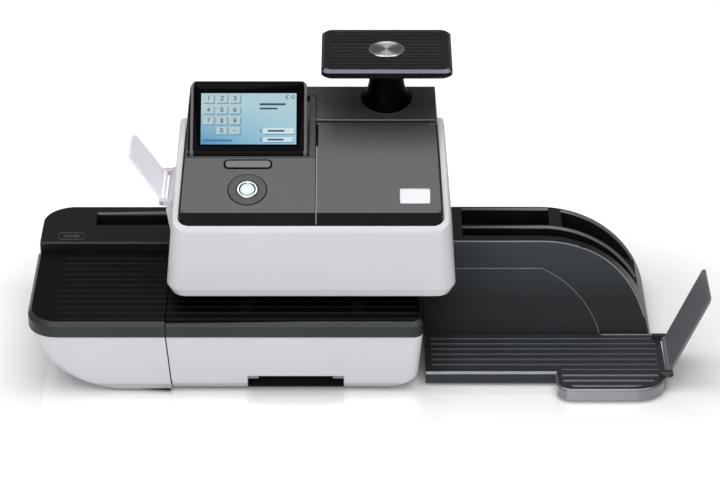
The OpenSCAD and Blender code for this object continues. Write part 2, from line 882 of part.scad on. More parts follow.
// Recess behind the control panel that the display folds into
module display_bay() {
    low_n = -bay_depth - bay_floor_t;
    color("#2a2b2d") difference() {
        intersection() {
            on_panel() span([head_x - head_w, bay_front - bay_wall, low_n],
                [seam_x - play / 2, bay_rear + bay_wall, 10]);
            along_x(head_x - head_w, head_x + head_w) roof_profile(0);
            along_y(head_y, rear_y) draft_profile(rim_w, cover_low - 60, crown_z + 10);
        }
        on_panel() span([display_x - bay_half, bay_front, -bay_depth], [display_x + bay_half, bay_rear, 20]);
        rod_x(display_x - bay_half - bay_wall, display_x + bay_half + bay_wall, pivot_y, pivot_z,
            pivot_r + run_fit);
    }
}

// Steel shaft of the display's hinge
module display_hinge_shaft() {
    half = bay_half + bay_wall;
    color("silver") rod_x(display_x - half, display_x + half, pivot_y, pivot_z, pivot_r);
}

// Outline of the display in its own plane: rounded top corners
module display_outline() {
    r = 6;
    top = display_l - display_t / 2;
    half = display_w / 2;
    translate([-half, -display_t / 2]) square([display_w, top - r + display_t / 2]);
    translate([r - half, 0]) square([display_w - 2 * r, top]);
    for (side = [-1, 1]) translate([side * (half - r), top - r]) circle(r);
}

// Display case: round foot about the hinge, drawn-in back, glass seat in front
module display_housing() {
    r = display_t / 2;
    top = display_l - r;
    thin = 5;
    color("dimgray") on_display() difference() {
        intersection() {
            translate([0, 0, -r]) linear_extrude(display_t) display_outline();
            along_x(-display_w, display_w) union() {
                circle(r);
                polygon([[0, -r], [top * 0.6, -r], [top, r - thin], [top, r], [0, r]]);
            }
        }
        translate([0, 0, r - glass_t]) linear_extrude(glass_t + past) display_glass_outline(run_fit);
        rod_x(-display_w, display_w, 0, 0, pivot_r + run_fit);
    }
}

// Glass reaches the display's foot and leaves a narrow frame elsewhere
module display_glass_outline(gap) {
    half = display_w / 2 - frame_w + gap;
    low = 0.6 - gap;
    high = display_l - display_t / 2 - frame_w + gap;
    r = 3;
    translate([-half, low]) square([2 * half, high - low - r]);
    translate([r - half, low]) square([2 * (half - r), high - low]);
    for (side = [-1, 1]) translate([side * (half - r), high - r]) circle(r);
}

module display_glass() {
    color("black") on_display() difference() {
        translate([0, 0, display_t / 2 - glass_t]) linear_extrude(glass_t) display_glass_outline(0);
        translate([-lcd[0] / 2, lcd_low, display_t / 2 - glass_t / 2]) cube([lcd[0], lcd[1], glass_t]);
    }
}

// Lit touch panel set in the glass
module display_lcd() {
    color("lightblue") on_display()
        translate([-lcd[0] / 2 + run_fit, lcd_low + run_fit, display_t / 2 - glass_t / 2])
            cube([lcd[0] - 2 * run_fit, lcd[1] - 2 * run_fit, glass_t / 2 - run_fit]);
}

// Dark right half of the operating panel, a flap over the ink
module ink_cover() {
    edge = seam_x + play / 2;
    color("dimgray") difference() {
        union() {
            intersection() {
                roof_skin();
                span([edge, head_y, rim_z - 6], [head_x + head_w, rear_y, crown_z]);
                on_panel() span([head_x - head_w, -50, skirt_n], [head_x + head_w, ink_s - 0.4, 20]);
            }
            on_panel() rod_x(edge + play, ink_x1, ink_s, ink_n, barrel_r);
        }
        on_panel() rod_x(edge - past, head_x + head_w, ink_s, ink_n, ink_pin_r + run_fit);
        on_panel() for (x = [[edge - past, lug_x[0] + lug_w / 2 + play],
            [lug_x[1] - lug_w / 2 - play, head_x + head_w]])
            span([x[0], ink_s - barrel_r - play, -4 * barrel_r], [x[1], ink_s + 2 * barrel_r, past]);
    }
}

module ink_hinge_pin() {
    color("silver") on_panel() rod_x(lug_x[0] - 1, lug_x[1] + 1, ink_s, ink_n, ink_pin_r);
}

// Rear cover: crown, back edge, hinge lugs for the ink cover, boss for the neck
module rear_cover() {
    color("dimgray") difference() {
        union() {
            intersection() {
                roof_skin();
                span([head_x - head_w, head_y, cover_low], [head_x + head_w, rear_y + past, crown_z + past]);
                on_panel() span([head_x - head_w, panel_len + play, -90], [head_x + head_w, 300, 60]);
            }
            intersection() {
                roof_solid(cover_t / 2);
                translate([neck_x, neck_y, crown_z - 12]) cylinder(h = crown_z, r = boss_r);
            }
            translate([neck_x, neck_y, crown_z - 8]) cylinder(h = boss_z - crown_z + 8, r = boss_r);
            on_panel() for (x = lug_x) {
                rod_x(x - lug_w / 2, x + lug_w / 2, ink_s, ink_n, barrel_r);
                span([x - lug_w / 2, ink_s, -2 * barrel_r], [x + lug_w / 2, panel_len + 14, -cover_t]);
            }
        }
        on_panel() rod_x(seam_x, head_x + head_w, ink_s, ink_n, ink_pin_r + run_fit / 2);
        on_panel() span([head_x - head_w, bay_front - 20, -bay_depth - bay_floor_t - seat],
            [seam_x - play / 2 + seat, bay_rear + bay_wall + seat, 40]);
        translate([neck_x, neck_y, cover_low - past]) cylinder(h = crown_z, r = stem_r + stem_gap);
    }
}

// Rear housing: stands on the base, carries the head and the weighing gear
module rear_housing() {
    step_z = block_top + play;
    wall = 3;
    color("#26282a") difference() {
        union() {
            span([feed_x + seat, guide_face + seat, shell_top], [tray_x, rear_y, step_z]);
            intersection() {
                along_y(guide_face + seat, rear_y) draft_profile(rim_w, step_z - past, cover_low);
                span([head_x - head_w, guide_face + seat, step_z], [head_x + head_w, rear_y, cover_low]);
            }
        }
        span([feed_x + seat + wall, guide_face + seat + wall, shell_top - past],
            [tray_x - wall, rear_y - wall, step_z - wall]);
        span([head_x - head_half(step_z) + rim_w + 2 * wall, guide_face + seat + wall, step_z - wall - past],
            [tray_x - wall, rear_y - wall, step_z + wall + past]);
        intersection() {
            along_y(guide_face + seat + wall, rear_y - wall)
                draft_profile(rim_w + wall, step_z + wall, cover_low + past);
            union() {
                span([head_x - head_w, guide_face, step_z + wall], [head_x + head_w, rear_y, shelf_z]);
                span([head_x - head_w, guide_face, shelf_z + shelf_t],
                    [head_x + head_w, rear_y, cover_low + past]);
            }
        }
        on_panel() span([head_x - head_w, bay_front - 20, -bay_depth - bay_floor_t - seat],
            [seam_x - play / 2 + seat, bay_rear + 20, 60]);
        span([inlet_x - inlet_w / 2 - seat, rear_y - wall - past, inlet_z - inlet_h / 2 - seat],
            [inlet_x + inlet_w / 2 + seat, rear_y + past, inlet_z + inlet_h / 2 + seat]);
        for (i = [0:8]) span([head_x + 20 + i * 9, rear_y - wall - past, inlet_z + 12],
            [head_x + 24 + i * 9, rear_y + past, inlet_z + 46]);
    }
}

// Mains inlet at the back: a hooded socket with three blades
module power_inlet() {
    depth = 24;
    color("black") difference() {
        union() {
            span([inlet_x - inlet_w / 2, rear_y - depth, inlet_z - inlet_h / 2],
                [inlet_x + inlet_w / 2, rear_y, inlet_z + inlet_h / 2]);
            span([inlet_x - inlet_w / 2 - 4, rear_y - 3 - 2.5, inlet_z - inlet_h / 2 - 3],
                [inlet_x + inlet_w / 2 + 4, rear_y - 3, inlet_z + inlet_h / 2 + 3]);
        }
        span([inlet_x - inlet_w / 2 + 2, rear_y - depth + 6, inlet_z - inlet_h / 2 + 2],
            [inlet_x + inlet_w / 2 - 2, rear_y + past, inlet_z + inlet_h / 2 - 2]);
    }
    color("silver") for (p = [[-7, -1.5], [0, 2.5], [7, -1.5]])
        span([inlet_x + p[0] - 1, rear_y - depth + 5, inlet_z + p[1] - 2],
            [inlet_x + p[0] + 1, rear_y - 5, inlet_z + p[1] + 2]);
}

// Sprung frame that presses the upper rollers on the mail
module pressure_carrier() {
    arm_t = 4;
    arm_y = [tyre_y[0] - tyre_w / 2 - play - arm_t, tyre_y[1] + tyre_w / 2 + play];
    color("silver") difference() {
        union() {
            span([window_x[0] - carrier_lip, window_y[0] - carrier_lip, carrier_z],
                [window_x[1] + carrier_lip, window_y[1] + carrier_lip, carrier_z + carrier_t]);
            for (x = roller_x) for (y = arm_y)
                span([x - 6, y, press_z - 5], [x + 6, y + arm_t, carrier_z + past]);
        }
        span([print_x - print_w / 2 - 2, tyre_y[0] - 10, carrier_z - past],
            [print_x + print_w / 2 + 2, tyre_y[1] + 10, carrier_z + carrier_t + past]);
        for (x = roller_x) {
            rod_y(x, press_z, window_y[0], window_y[1], press_axle_r + run_fit);
            span([x - press_r - play - past, arm_y[0] + arm_t, carrier_z - past],
                [x + press_r + play + past, arm_y[1], carrier_z + carrier_t + past]);
        }
    }
}

// One upper roller: axle with two soft wheels
module pressure_wheels(x) {
    color("dimgray") {
        rod_y(x, press_z, tyre_y[0] - tyre_w / 2 - play - 4, tyre_y[1] + tyre_w / 2 + play + 4, press_axle_r);
        for (y = tyre_y) rod_y(x, press_z, y - tyre_w / 2, y + tyre_w / 2, press_r);
    }
}
module pressure_roller_in() { pressure_wheels(roller_x[0]); }
module pressure_roller_out() { pressure_wheels(roller_x[1]); }

// Print unit: nozzle block between the rollers, hung on a bridge over the carrier
module print_unit() {
    low = press_z - press_r + 2;
    bridge_z = carrier_z + carrier_t + carrier_lift + 4;
    leg = 5;
    leg_y = [window_y[0] - carrier_lip - play - leg, window_y[1] + carrier_lip + play];
    x0 = print_x - print_w / 2;
    x1 = print_x + print_w / 2;
    color("#3a3d44") {
        span([x0, tyre_y[0] - 4, low], [x1, tyre_y[1] + 4, bridge_z + 26]);
        span([x0, leg_y[0], bridge_z], [x1, leg_y[1] + leg, bridge_z + 4]);
        for (y = leg_y) span([x0, y, head_z + plate_t], [x1, y + leg, bridge_z + past]);
    }
}

// Ink cartridge beside the rollers, under the flap
module ink_cartridge() {
    x0 = window_x[1] + 10;
    y0 = head_y + 30;
    size = [head_x + base_plate_w / 2 - 16 - x0, head_d / 2, front_h - 21];
    grip = size[0] / 3;
    color("#2f3136") translate([x0, y0, head_z + plate_t]) difference() {
        union() {
            cube(size);
            translate([size[0] / 2 - grip / 2, 8, size[2] - past]) cube([grip, 26, 9]);
        }
        translate([-past, size[1] - 14, size[2] - 12]) cube([size[0] + 2 * past, 14 + past, 12 + past]);
        translate([size[0] / 2 - grip, 14, size[2] + 2]) cube([2 * grip, 14, 3]);
    }
}

// Neck that carries the platform's stem through the rear cover
module scale_neck() {
    flare_r = 30;
    flare_h = 20;
    top = platform_low - 2;
    wide = neck_r + flare_r - sqrt(flare_r * flare_r - flare_h * flare_h);
    color("#2a2c2e") translate([neck_x, neck_y, boss_z]) rotate_extrude($fn = 96) difference() {
        translate([stem_r + stem_gap, 0]) square([wide - stem_r - stem_gap, top - boss_z]);
        translate([neck_r + flare_r, flare_h]) circle(flare_r, $fn = 180);
        translate([neck_r, flare_h]) square([wide, top]);
    }
}

// Load cell: a beam held at one end on the housing's shelf
module load_cell() {
    x1 = neck_x + 12;
    x0 = x1 - 74;
    z0 = cell_top - cell_h;
    color("silver") difference() {
        union() {
            span([x0, neck_y - cell_w / 2, z0], [x1, neck_y + cell_w / 2, cell_top]);
            span([x0, neck_y - cell_w / 2, shelf_z + shelf_t],
                [x0 + 22, neck_y + cell_w / 2, z0 + past]);
        }
        for (x = [-8, 8])
            rod_y((x0 + x1) / 2 + x, z0 + cell_h / 2, neck_y - cell_w, neck_y + cell_w, 6.5);
        span([(x0 + x1) / 2 - 8, neck_y - cell_w, z0 + cell_h / 2 - 2],
            [(x0 + x1) / 2 + 8, neck_y + cell_w, z0 + cell_h / 2 + 2]);
    }
}

// Stem between load cell and platform
module platform_stem() {
    color("silver") translate([neck_x, neck_y, 0]) {
        low = cell_top + sink + seat;
        translate([0, 0, low]) cylinder(h = platform_low - run_fit - low, r = stem_r);
    }
}

// Ribbed weighing platform with a chamfered edge
module weigh_platform() {
    r = 8;
    edge = 3;
    x0 = neck_x - platform_w / 2;
    x1 = neck_x + platform_w / 2;
    y0 = platform_y - platform_d / 2;
    y1 = platform_y + platform_d / 2;
    ribs = 12;
    plate_z = platform_z - platform_rib;
    pitch = (platform_d - 16) / (ribs - 1);
    color("darkslategray") difference() {
        union() {
            loft([
                [platform_low, ring(x0 + edge, x1 - edge, y0 + edge, y1 - edge, [r, r, r, r])],
                [platform_low + edge, ring(x0, x1, y0, y1, [r, r, r, r])],
                [plate_z - edge, ring(x0, x1, y0, y1, [r, r, r, r])],
                [plate_z, ring(x0 + edge, x1 - edge, y0 + edge, y1 - edge, [r, r, r, r])]]);
            for (i = [0:ribs - 1]) translate([x0 + 9, y0 + 8 + i * pitch - 0.8, plate_z - past])
                cube([platform_w - 18, 1.6, platform_rib + past]);
        }
        translate([neck_x, platform_y, plate_z - disc_t])
            cylinder(h = disc_t + 2 * past, r = disc_r + run_fit);
    }
}

// Bare metal disc in the middle of the platform
module platform_disc() {
    z = platform_z - platform_rib - disc_t;
    color("silver") translate([neck_x, platform_y, z]) rotate_extrude($fn = 96) polygon([
        [0, 0], [disc_r, 0], [disc_r, disc_t + 0.2], [disc_r - 0.6, disc_t + platform_rib],
        [disc_r - 3, disc_t + platform_rib], [disc_r - 3.6, disc_t + 0.3], [0, disc_t + 0.5]]);
}

// Front view of the tray's back block: flat top, then the falling arc
module block_profile() {
    intersection() {
        translate([tray_x, foot_h]) square([fall_x + fall_r - tray_x, block_top - foot_h]);
        union() {
            translate([tray_x, fall_z]) square([fall_x - tray_x, fall_r]);
            translate([fall_x, fall_z]) circle(fall_r, $fn = 240);
        }
    }
}

// Side view of the space in front of the back wall, with its cove
module cove_space() {
    high = block_top + 20;
    translate([cove_y - past, cove_z]) square([cove_r + past, max(high - cove_z, 1)]);
    intersection() {
        translate([cove_y, cove_z]) circle(cove_r, $fn = 160);
        translate([cove_y - past, tray_z]) square([cove_r + past, cove_r]);
    }
}

// Front view of a pocket that follows the block's top, of a given depth
module pocket_profile(x0, depth) {
    end_z = tray_z + 12;
    difference() {
        intersection() {
            translate([x0, end_z]) square([fall_x + fall_r - x0, block_top - end_z + past]);
            union() {
                translate([x0, block_top - depth]) square([max(fall_x - x0, 0.01), depth + past]);
                translate([max(x0, fall_x), fall_z]) square([fall_r, fall_r + past]);
            }
        }
        translate([fall_x, fall_z]) circle(fall_r - depth, $fn = 240);
    }
}

// Back block of the catch tray, with pen pockets along its top
module tray_block() {
    front_pocket = [wall_face + 12, wall_face + 31];
    rear_pocket = [wall_face + 35, rear_y - 4];
    post = 40;
    parting = 13;
    box_end = tray_x + post + 90;
    color("#1d1f21") difference() {
        along_y(cove_y, rear_y) block_profile();
        along_x(tray_x - past, fall_x + fall_r + past) cove_space();
        along_y(front_pocket[0], front_pocket[1]) pocket_profile(tray_x + post, 30);
        along_y(rear_pocket[0], rear_pocket[1]) pocket_profile(box_end + parting, 26);
        span([tray_x + post, rear_pocket[0], block_top - 44], [box_end, rear_pocket[1], block_top + past]);
        span([tray_x + 4, wall_face + 4, foot_h - past],
            [fall_x + 20, rear_y - 2 * foot_r - 22, block_top - 49]);
    }
}

// Inner plate on the cove that mail slides down
module chute_panel() {
    t = 1.4;
    top = tray_z + 43;
    arc_r = 150;
    arc_x = tray_x + 61;
    arc_z = top - sqrt(arc_r * arc_r - (fall_x - arc_x) * (fall_x - arc_x));
    color("#232628") intersection() {
        along_x(tray_x + seat, fall_x + fall_r) difference() {
            translate([cove_y, cove_z]) circle(cove_r, $fn = 160);
            translate([cove_y, cove_z]) circle(cove_r - t, $fn = 160);
        }
        along_y(cove_y, wall_face + past) intersection() {
            translate([arc_x, arc_z]) circle(arc_r, $fn = 240);
            translate([tray_x + seat, tray_z - past]) square([fall_r * 3, top - tray_z + past]);
        }
    }
}

// Outline of the tray's floor: finger notch on the left, flared right edge
module floor_outline(inset) {
    lip_r = 30;
    step_r = 15;
    x1 = tray_edge - inset;
    y0 = tray_front + inset;
    notch_y = tray_front + notch_d + inset;
    rear = cove_y - inset;
    translate([tray_x + inset, notch_y]) square([notch_x - tray_x, rear - notch_y]);
    translate([notch_x + inset, y0 + lip_r]) square([x1 - notch_x - inset, flap_y0 + flap_d - y0 - lip_r]);
    translate([notch_x + inset + step_r, y0]) square([x1 - lip_r - notch_x - inset - step_r, lip_r + past]);
    translate([notch_x + inset, y0 + step_r]) square([step_r + past, lip_r]);
    translate([notch_x + inset + step_r, y0 + step_r]) circle(step_r);
    translate([x1 - lip_r, y0 + lip_r]) circle(lip_r);
    polygon([[notch_x, flap_y0 + flap_d - past], [x1, flap_y0 + flap_d - past],
        [fall_x + fall_r - 4 - inset, rear], [notch_x, rear]]);
}

// Ribbed floor of the catch tray, with the ears of the stop flap
module tray_floor() {
    rib_pitch = 10;
    rib_w = 1.6;
    lip = 6;
    ear = 5;
    color("#222527") difference() {
        union() {
            translate([0, 0, foot_h]) linear_extrude(tray_z - foot_h) floor_outline(0);
            intersection() {
                translate([0, 0, tray_z - past]) linear_extrude(floor_rib + past) floor_outline(lip);
                for (i = [0:floor((cove_y - tray_front) / rib_pitch)])
                    span([tray_x, tray_front + lip + i * rib_pitch, tray_z - past],
                        [right_x, tray_front + lip + i * rib_pitch + rib_w, tray_z + floor_rib]);
            }
            for (y = [flap_y0 - ear - play, flap_y0 + flap_d + play]) {
                rod_y(flap_axis_x, flap_axis_z, y, y + ear, flap_barrel);
                span([tray_edge - 8, y, flap_axis_z - flap_barrel],
                    [flap_axis_x, y + ear, flap_axis_z + flap_barrel]);
            }
        }
        rod_y(flap_axis_x, flap_axis_z, flap_y0 - 20, flap_y0 + flap_d + 20, flap_pin_r + run_fit / 2);
        span([tray_x + lip, tray_front + notch_d + lip, foot_h - past],
            [fall_x + fall_r - lip - 6, cove_y - lip, tray_z - 4]);
    }
}

module flap_pin() {
    color("silver") rod_y(flap_axis_x, flap_axis_z, flap_y0 - 5, flap_y0 + flap_d + 5, flap_pin_r);
}

// Stop flap at the tray's right edge: leaf and barrel
module stop_flap() {
    cut = 3.5;
    root = (flap_barrel + flap_pin_r) / 2;
    near = flap_y0 + seat;
    far = flap_y0 + flap_d - seat;
    color("#4a4a50") translate([flap_axis_x, 0, flap_axis_z]) difference() {
        union() {
            rod_y(0, 0, flap_y0, flap_y0 + flap_d, flap_barrel);
            rotate([0, -flap_angle, 0]) translate([0, 0, -flap_t / 2]) linear_extrude(flap_t) polygon([
                [root, near], [flap_l - cut, near], [flap_l, near + cut],
                [flap_l, far - cut], [flap_l - cut, far], [root, far]]);
        }
        rod_y(0, 0, flap_y0 - past, flap_y0 + flap_d + past, flap_pin_r + run_fit);
    }
}

// White gusset on the head's side that carries the label tray
module label_bracket() {
    low = leaf_z - bracket_drop;
    high = leaf_z + 4;
    ears = [leaf_y - ear_w - play, leaf_y + leaf_d + play];
    color("gainsboro") difference() {
        union() {
            along_y(ears[0], ears[1] + ear_w) polygon([
                [head_x - head_half(low) - seat, low],
                [head_x - head_half(high) - seat, high],
                [head_x - head_half(leaf_z) - seat - 3, high],
                [leaf_x + leaf_barrel + play + 0.4, leaf_z - leaf_barrel - 4]]);
            for (y = ears) {
                rod_y(leaf_x, leaf_z, y, y + ear_w, leaf_barrel);
                span([leaf_x, y, leaf_z - leaf_barrel], [leaf_x + 8, y + ear_w, leaf_z + leaf_barrel]);
            }
        }
        rod_y(leaf_x, leaf_z, leaf_y, leaf_y + leaf_d, leaf_barrel + play + 0.4);
        rod_y(leaf_x, leaf_z, ears[0] - past, ears[1] + ear_w + past, leaf_pin_r + run_fit / 2);
    }
}

module label_pin() {
    color("silver") rod_y(leaf_x, leaf_z, leaf_y - ear_w - play, leaf_y + leaf_d + play + ear_w, leaf_pin_r);
}

// White leaf that catches printed labels
module label_tray() {
    root = (leaf_barrel + leaf_pin_r) / 2;
    color("whitesmoke") translate([leaf_x, leaf_y, leaf_z]) difference() {
        union() {
            rod_y(0, 0, 0, leaf_d, leaf_barrel);
            rotate([0, leaf_angle - 180, 0]) translate([0, 0, -leaf_t / 2]) linear_extrude(leaf_t)
                polygon([[root, seat], [leaf_l, seat], [leaf_l, leaf_d - 12],
                    [leaf_l - 5, leaf_d - seat], [root, leaf_d - seat]]);
        }
        rod_y(0, 0, -past, leaf_d + past, leaf_pin_r + run_fit);
    }
}

feed_shell();
base_shell();
recess_liner();
base_pan();
pan_screws();
rubber_feet();
feed_deck();
base_deck();
feed_guide_block();
roller_frame();
shaft_bushes();
drive_roller();
drive_tyres();
exit_roller();
exit_tyres();
feed_motor();
motor_pulley();
drive_belt();
main_board();
power_supply();
head_shell();
head_base();
control_panel();
start_button();
start_lens();
key_board();
display_release_key();
display_bay();
display_hinge_shaft();
display_housing();
display_glass();
display_lcd();
ink_cover();
ink_hinge_pin();
rear_cover();
rear_housing();
power_inlet();
pressure_carrier();
pressure_roller_in();
pressure_roller_out();
print_unit();
ink_cartridge();
scale_neck();
load_cell();
platform_stem();
weigh_platform();
platform_disc();
tray_block();
chute_panel();
tray_floor();
flap_pin();
stop_flap();
label_bracket();
label_pin();
label_tray();
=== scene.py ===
import json
import math

import bmesh
import bpy
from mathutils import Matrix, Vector


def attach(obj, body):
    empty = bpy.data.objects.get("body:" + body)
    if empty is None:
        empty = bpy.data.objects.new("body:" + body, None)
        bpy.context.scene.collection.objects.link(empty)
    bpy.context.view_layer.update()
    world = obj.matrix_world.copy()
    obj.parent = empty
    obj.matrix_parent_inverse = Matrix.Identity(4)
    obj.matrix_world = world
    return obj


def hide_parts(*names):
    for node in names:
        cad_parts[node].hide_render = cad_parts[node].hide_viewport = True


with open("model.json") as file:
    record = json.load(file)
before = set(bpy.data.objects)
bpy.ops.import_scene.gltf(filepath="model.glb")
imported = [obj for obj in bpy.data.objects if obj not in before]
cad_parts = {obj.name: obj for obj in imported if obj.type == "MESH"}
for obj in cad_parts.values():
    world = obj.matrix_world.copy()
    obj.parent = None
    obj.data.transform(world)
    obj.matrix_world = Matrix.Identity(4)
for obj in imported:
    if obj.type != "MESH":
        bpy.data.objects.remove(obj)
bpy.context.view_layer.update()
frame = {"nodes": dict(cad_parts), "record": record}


# Feed end and base: off-white ABS skirts with a fine spark texture that breaks up
# the light. Feed end and base meet at a leaning seam, the base has the finger recess.

MM = 0.001
NODES = frame["nodes"]
BODY_OF = {n: b for b, names in frame["record"]["behaviour"]["bodies"].items() for n in names}


def srgb(code):
    """Linear colour of an sRGB hex code."""
    parts = [int(code[i:i + 2], 16) / 255 for i in (1, 3, 5)]
    return tuple(c / 12.92 if c <= 0.04045 else ((c + 0.055) / 1.055) ** 2.4 for c in parts) + (1.0,)


def add(tree, kind, settings=None, links=None):
    """One shader node with its settings and its incoming links."""
    made = tree.nodes.new(kind)
    for key, value in (settings or {}).items():
        if isinstance(key, str) and hasattr(made, key):
            setattr(made, key, value)
        else:
            made.inputs[key].default_value = value
    for key, source in (links or {}).items():
        tree.links.new(source, made.inputs[key])
    return made


def blank(name):
    """New material with its node tree, shader and object coordinates."""
    mat = bpy.data.materials.new(name)
    mat.use_nodes = True
    tree = mat.node_tree
    shader = tree.nodes["Principled BSDF"]
    where = add(tree, "ShaderNodeTexCoord").outputs["Object"]
    return mat, tree, shader, where


def shader_of(mat):
    """Main shader of a material."""
    return mat.node_tree.nodes["Principled BSDF"]


def moulded(name, low, high, rough, grain=0.5, depth=0.01, spec=0.5, drift=60, metal=0.0, stretch=(1, 1, 1)):
    """Moulded or cast surface: colour drifts over drift mm, texture of grain mm and depth mm."""
    mat, tree, shader, where = blank(name)
    cloud = add(tree, "ShaderNodeTexNoise", {"Scale": 1 / (drift * MM), "Detail": 3.0}, {"Vector": where})
    tint = add(tree, "ShaderNodeMix", {"data_type": "RGBA", 6: srgb(low), 7: srgb(high)},
               {0: cloud.outputs["Fac"]})
    tree.links.new(tint.outputs[2], shader.inputs["Base Color"])
    drawn = add(tree, "ShaderNodeMapping", {"Scale": stretch}, {"Vector": where})
    spark = add(tree, "ShaderNodeTexNoise", {"Scale": 1 / (grain * MM), "Detail": 2.0},
                {"Vector": drawn.outputs["Vector"]})
    gloss = add(tree, "ShaderNodeMapRange", {"To Min": rough - 0.05, "To Max": rough + 0.05},
                {"Value": spark.outputs["Fac"]})
    tree.links.new(gloss.outputs["Result"], shader.inputs["Roughness"])
    bump = add(tree, "ShaderNodeBump", {"Strength": 1.0, "Distance": depth * MM},
               {"Height": spark.outputs["Fac"]})
    tree.links.new(bump.outputs["Normal"], shader.inputs["Normal"])
    shader.inputs["Specular IOR Level"].default_value = spec
    shader.inputs["Metallic"].default_value = metal
    return mat


def settle(name, mesh, body, bevel=0.0, segments=3, angle=30):
    """Smooth shaded object of a mesh, with a small edge radius, on its body."""
    mesh.polygons.foreach_set("use_smooth", [True] * len(mesh.polygons))
    piece = bpy.data.objects.new(name, mesh)
    bpy.context.collection.objects.link(piece)
    if bevel:
        edge = piece.modifiers.new("edge_radius", "BEVEL")
        edge.width = bevel * MM
        edge.segments = segments
        edge.limit_method = "ANGLE"
        edge.angle_limit = math.radians(angle)
        edge.use_clamp_overlap = False
    normal = piece.modifiers.new("flat_normals", "WEIGHTED_NORMAL")
    normal.keep_sharp = True
    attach(piece, body)
    return piece


def dress(node, material, bevel=0.5, segments=3, zones=(), round_edges=(), split=False, cuts=()):
    """Stands for a CAD node: the same solid with clean faces, edge radii and material zones.

    zones are (material, test) pairs, where test takes a face's middle in mm and its normal.
    round_edges are (radius, segments, test), where test takes an outer edge's two ends in mm.
    split parts faces round an opening into convex ones, which keeps the opening free.
    cuts are (point in mm, normal) planes that part faces along a zone's border.
    """
    bm = bmesh.new()
    bm.from_mesh(NODES[node].data)
    bmesh.ops.remove_doubles(bm, verts=bm.verts, dist=1e-6)
    bmesh.ops.dissolve_limit(bm, angle_limit=math.radians(0.5), verts=bm.verts, edges=bm.edges)
    if split:
        bmesh.ops.connect_verts_concave(bm, faces=bm.faces)
    bm.normal_update()
    for radius, arc, test in round_edges:
        sharp = [e for e in bm.edges if len(e.link_faces) == 2 and e.is_convex
                 and e.calc_face_angle() > math.radians(25) and test(*[v.co / MM for v in e.verts])]
        bmesh.ops.bevel(bm, geom=sharp, offset=radius * MM, segments=arc, profile=0.5, affect="EDGES",
                        clamp_overlap=False)
        bm.normal_update()
    for point, normal in cuts:
        bmesh.ops.bisect_plane(bm, geom=bm.verts[:] + bm.edges[:] + bm.faces[:], dist=1e-7,
                               plane_co=Vector(point) * MM, plane_no=normal)
    for face in bm.faces:
        for i, (_, test) in enumerate(zones):
            if test(face.calc_center_median() / MM, face.normal):
                face.material_index = i + 1
    mesh = bpy.data.meshes.new(node + "_form")
    bm.to_mesh(mesh)
    bm.free()
    for mat in [material] + [m for m, _ in zones]:
        mesh.materials.append(mat)
    piece = settle(node + "_form", mesh, BODY_OF[node], bevel, segments)
    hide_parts(node)
    return piece


def axes_of(mat):
    """Object coordinates of a material, one output for each axis."""
    where = add(mat.node_tree, "ShaderNodeTexCoord").outputs["Object"]
    return add(mat.node_tree, "ShaderNodeSeparateXYZ", None, {0: where}).outputs


def between(mat, value, low, high):
    """0 to 1 while a length goes from low to high, both in mm."""
    return add(mat.node_tree, "ShaderNodeMapRange", {"From Min": low * MM, "From Max": high * MM},
               {"Value": value}).outputs["Result"]


def toward(mat, colour, amount):
    """Turns a material's colour toward another one by an amount from 0 to 1."""
    shader = shader_of(mat)
    skin = shader.inputs["Base Color"].links[0].from_socket
    tint = add(mat.node_tree, "ShaderNodeMix", {"data_type": "RGBA", 7: srgb(colour)}, {0: amount, 6: skin})
    mat.node_tree.links.new(tint.outputs[2], shader.inputs["Base Color"])


# ABS from spark-eroded tools: matt off-white with a touch of violet, whose fine grain
# breaks up highlights. The skirts' foot is drawn a shade darker as painted shade where
# it rounds under. Here and below, a grain too fine to show is drawn coarser, at about
# half a millimetre.
WHITE_ABS = moulded("white_textured_abs", "#c7c4c9", "#cdcace", 0.5, 0.5, 0.012)
SKIRT_ABS = moulded("white_skirt_abs", "#cac7cc", "#d0cdd2", 0.5, 0.5, 0.012)
toward(SKIRT_ABS, "#b1aeb3", between(SKIRT_ABS, axes_of(SKIRT_ABS)["Z"], 8.8, 8.3))


RECESS_X = (-119, -24)


def recess_foot(a, b):
    """True for the lower corners of the white skirt at both sides of the recess."""
    return max(a.z, b.z) < 3 and any(abs(a.x - x) < 0.2 and abs(b.x - x) < 0.2 for x in RECESS_X)


dress("feed_shell", SKIRT_ABS, 0.8, split=True)
dress("base_shell", SKIRT_ABS, 0.8, round_edges=[(2.0, 4, recess_foot)])


# Bottom: a dark pan screwed under both shells, the pocket behind the finger recess
# and eight soft feet. All of it is plain black moulding, steel screws and rubber.

# Black ABS: satin with a soft sheen. Dull black for the recess, drawn a little lighter as
# painted light in the deep shade inside it.
BLACK_ABS = moulded("black_satin_abs", "#16191a", "#1c1f20", 0.36, 0.6, 0.01, 0.4)
RECESS_BLACK = moulded("black_recess_lining_painted_light_and_shade", "#222425", "#2a2c2d", 0.6, 0.6, 0.01, 0.2)
dress("recess_liner", RECESS_BLACK, 0.4)
dress("base_pan", BLACK_ABS, 0.4)

# Zinc plated steel: bright grey with a fine uneven lustre.
STEEL = moulded("zinc_plated_steel", "#8c8e92", "#a4a6a8", 0.36, 1.2, 0.004, metal=1.0)
dress("pan_screws", STEEL, 0.2, 2)

# Rubber: near black, dull, with a slightly pitted skin.
RUBBER = moulded("black_rubber", "#121212", "#1a1a1a", 0.75, 0.8, 0.03, 0.3)
dress("rubber_feet", RUBBER, 0.8)
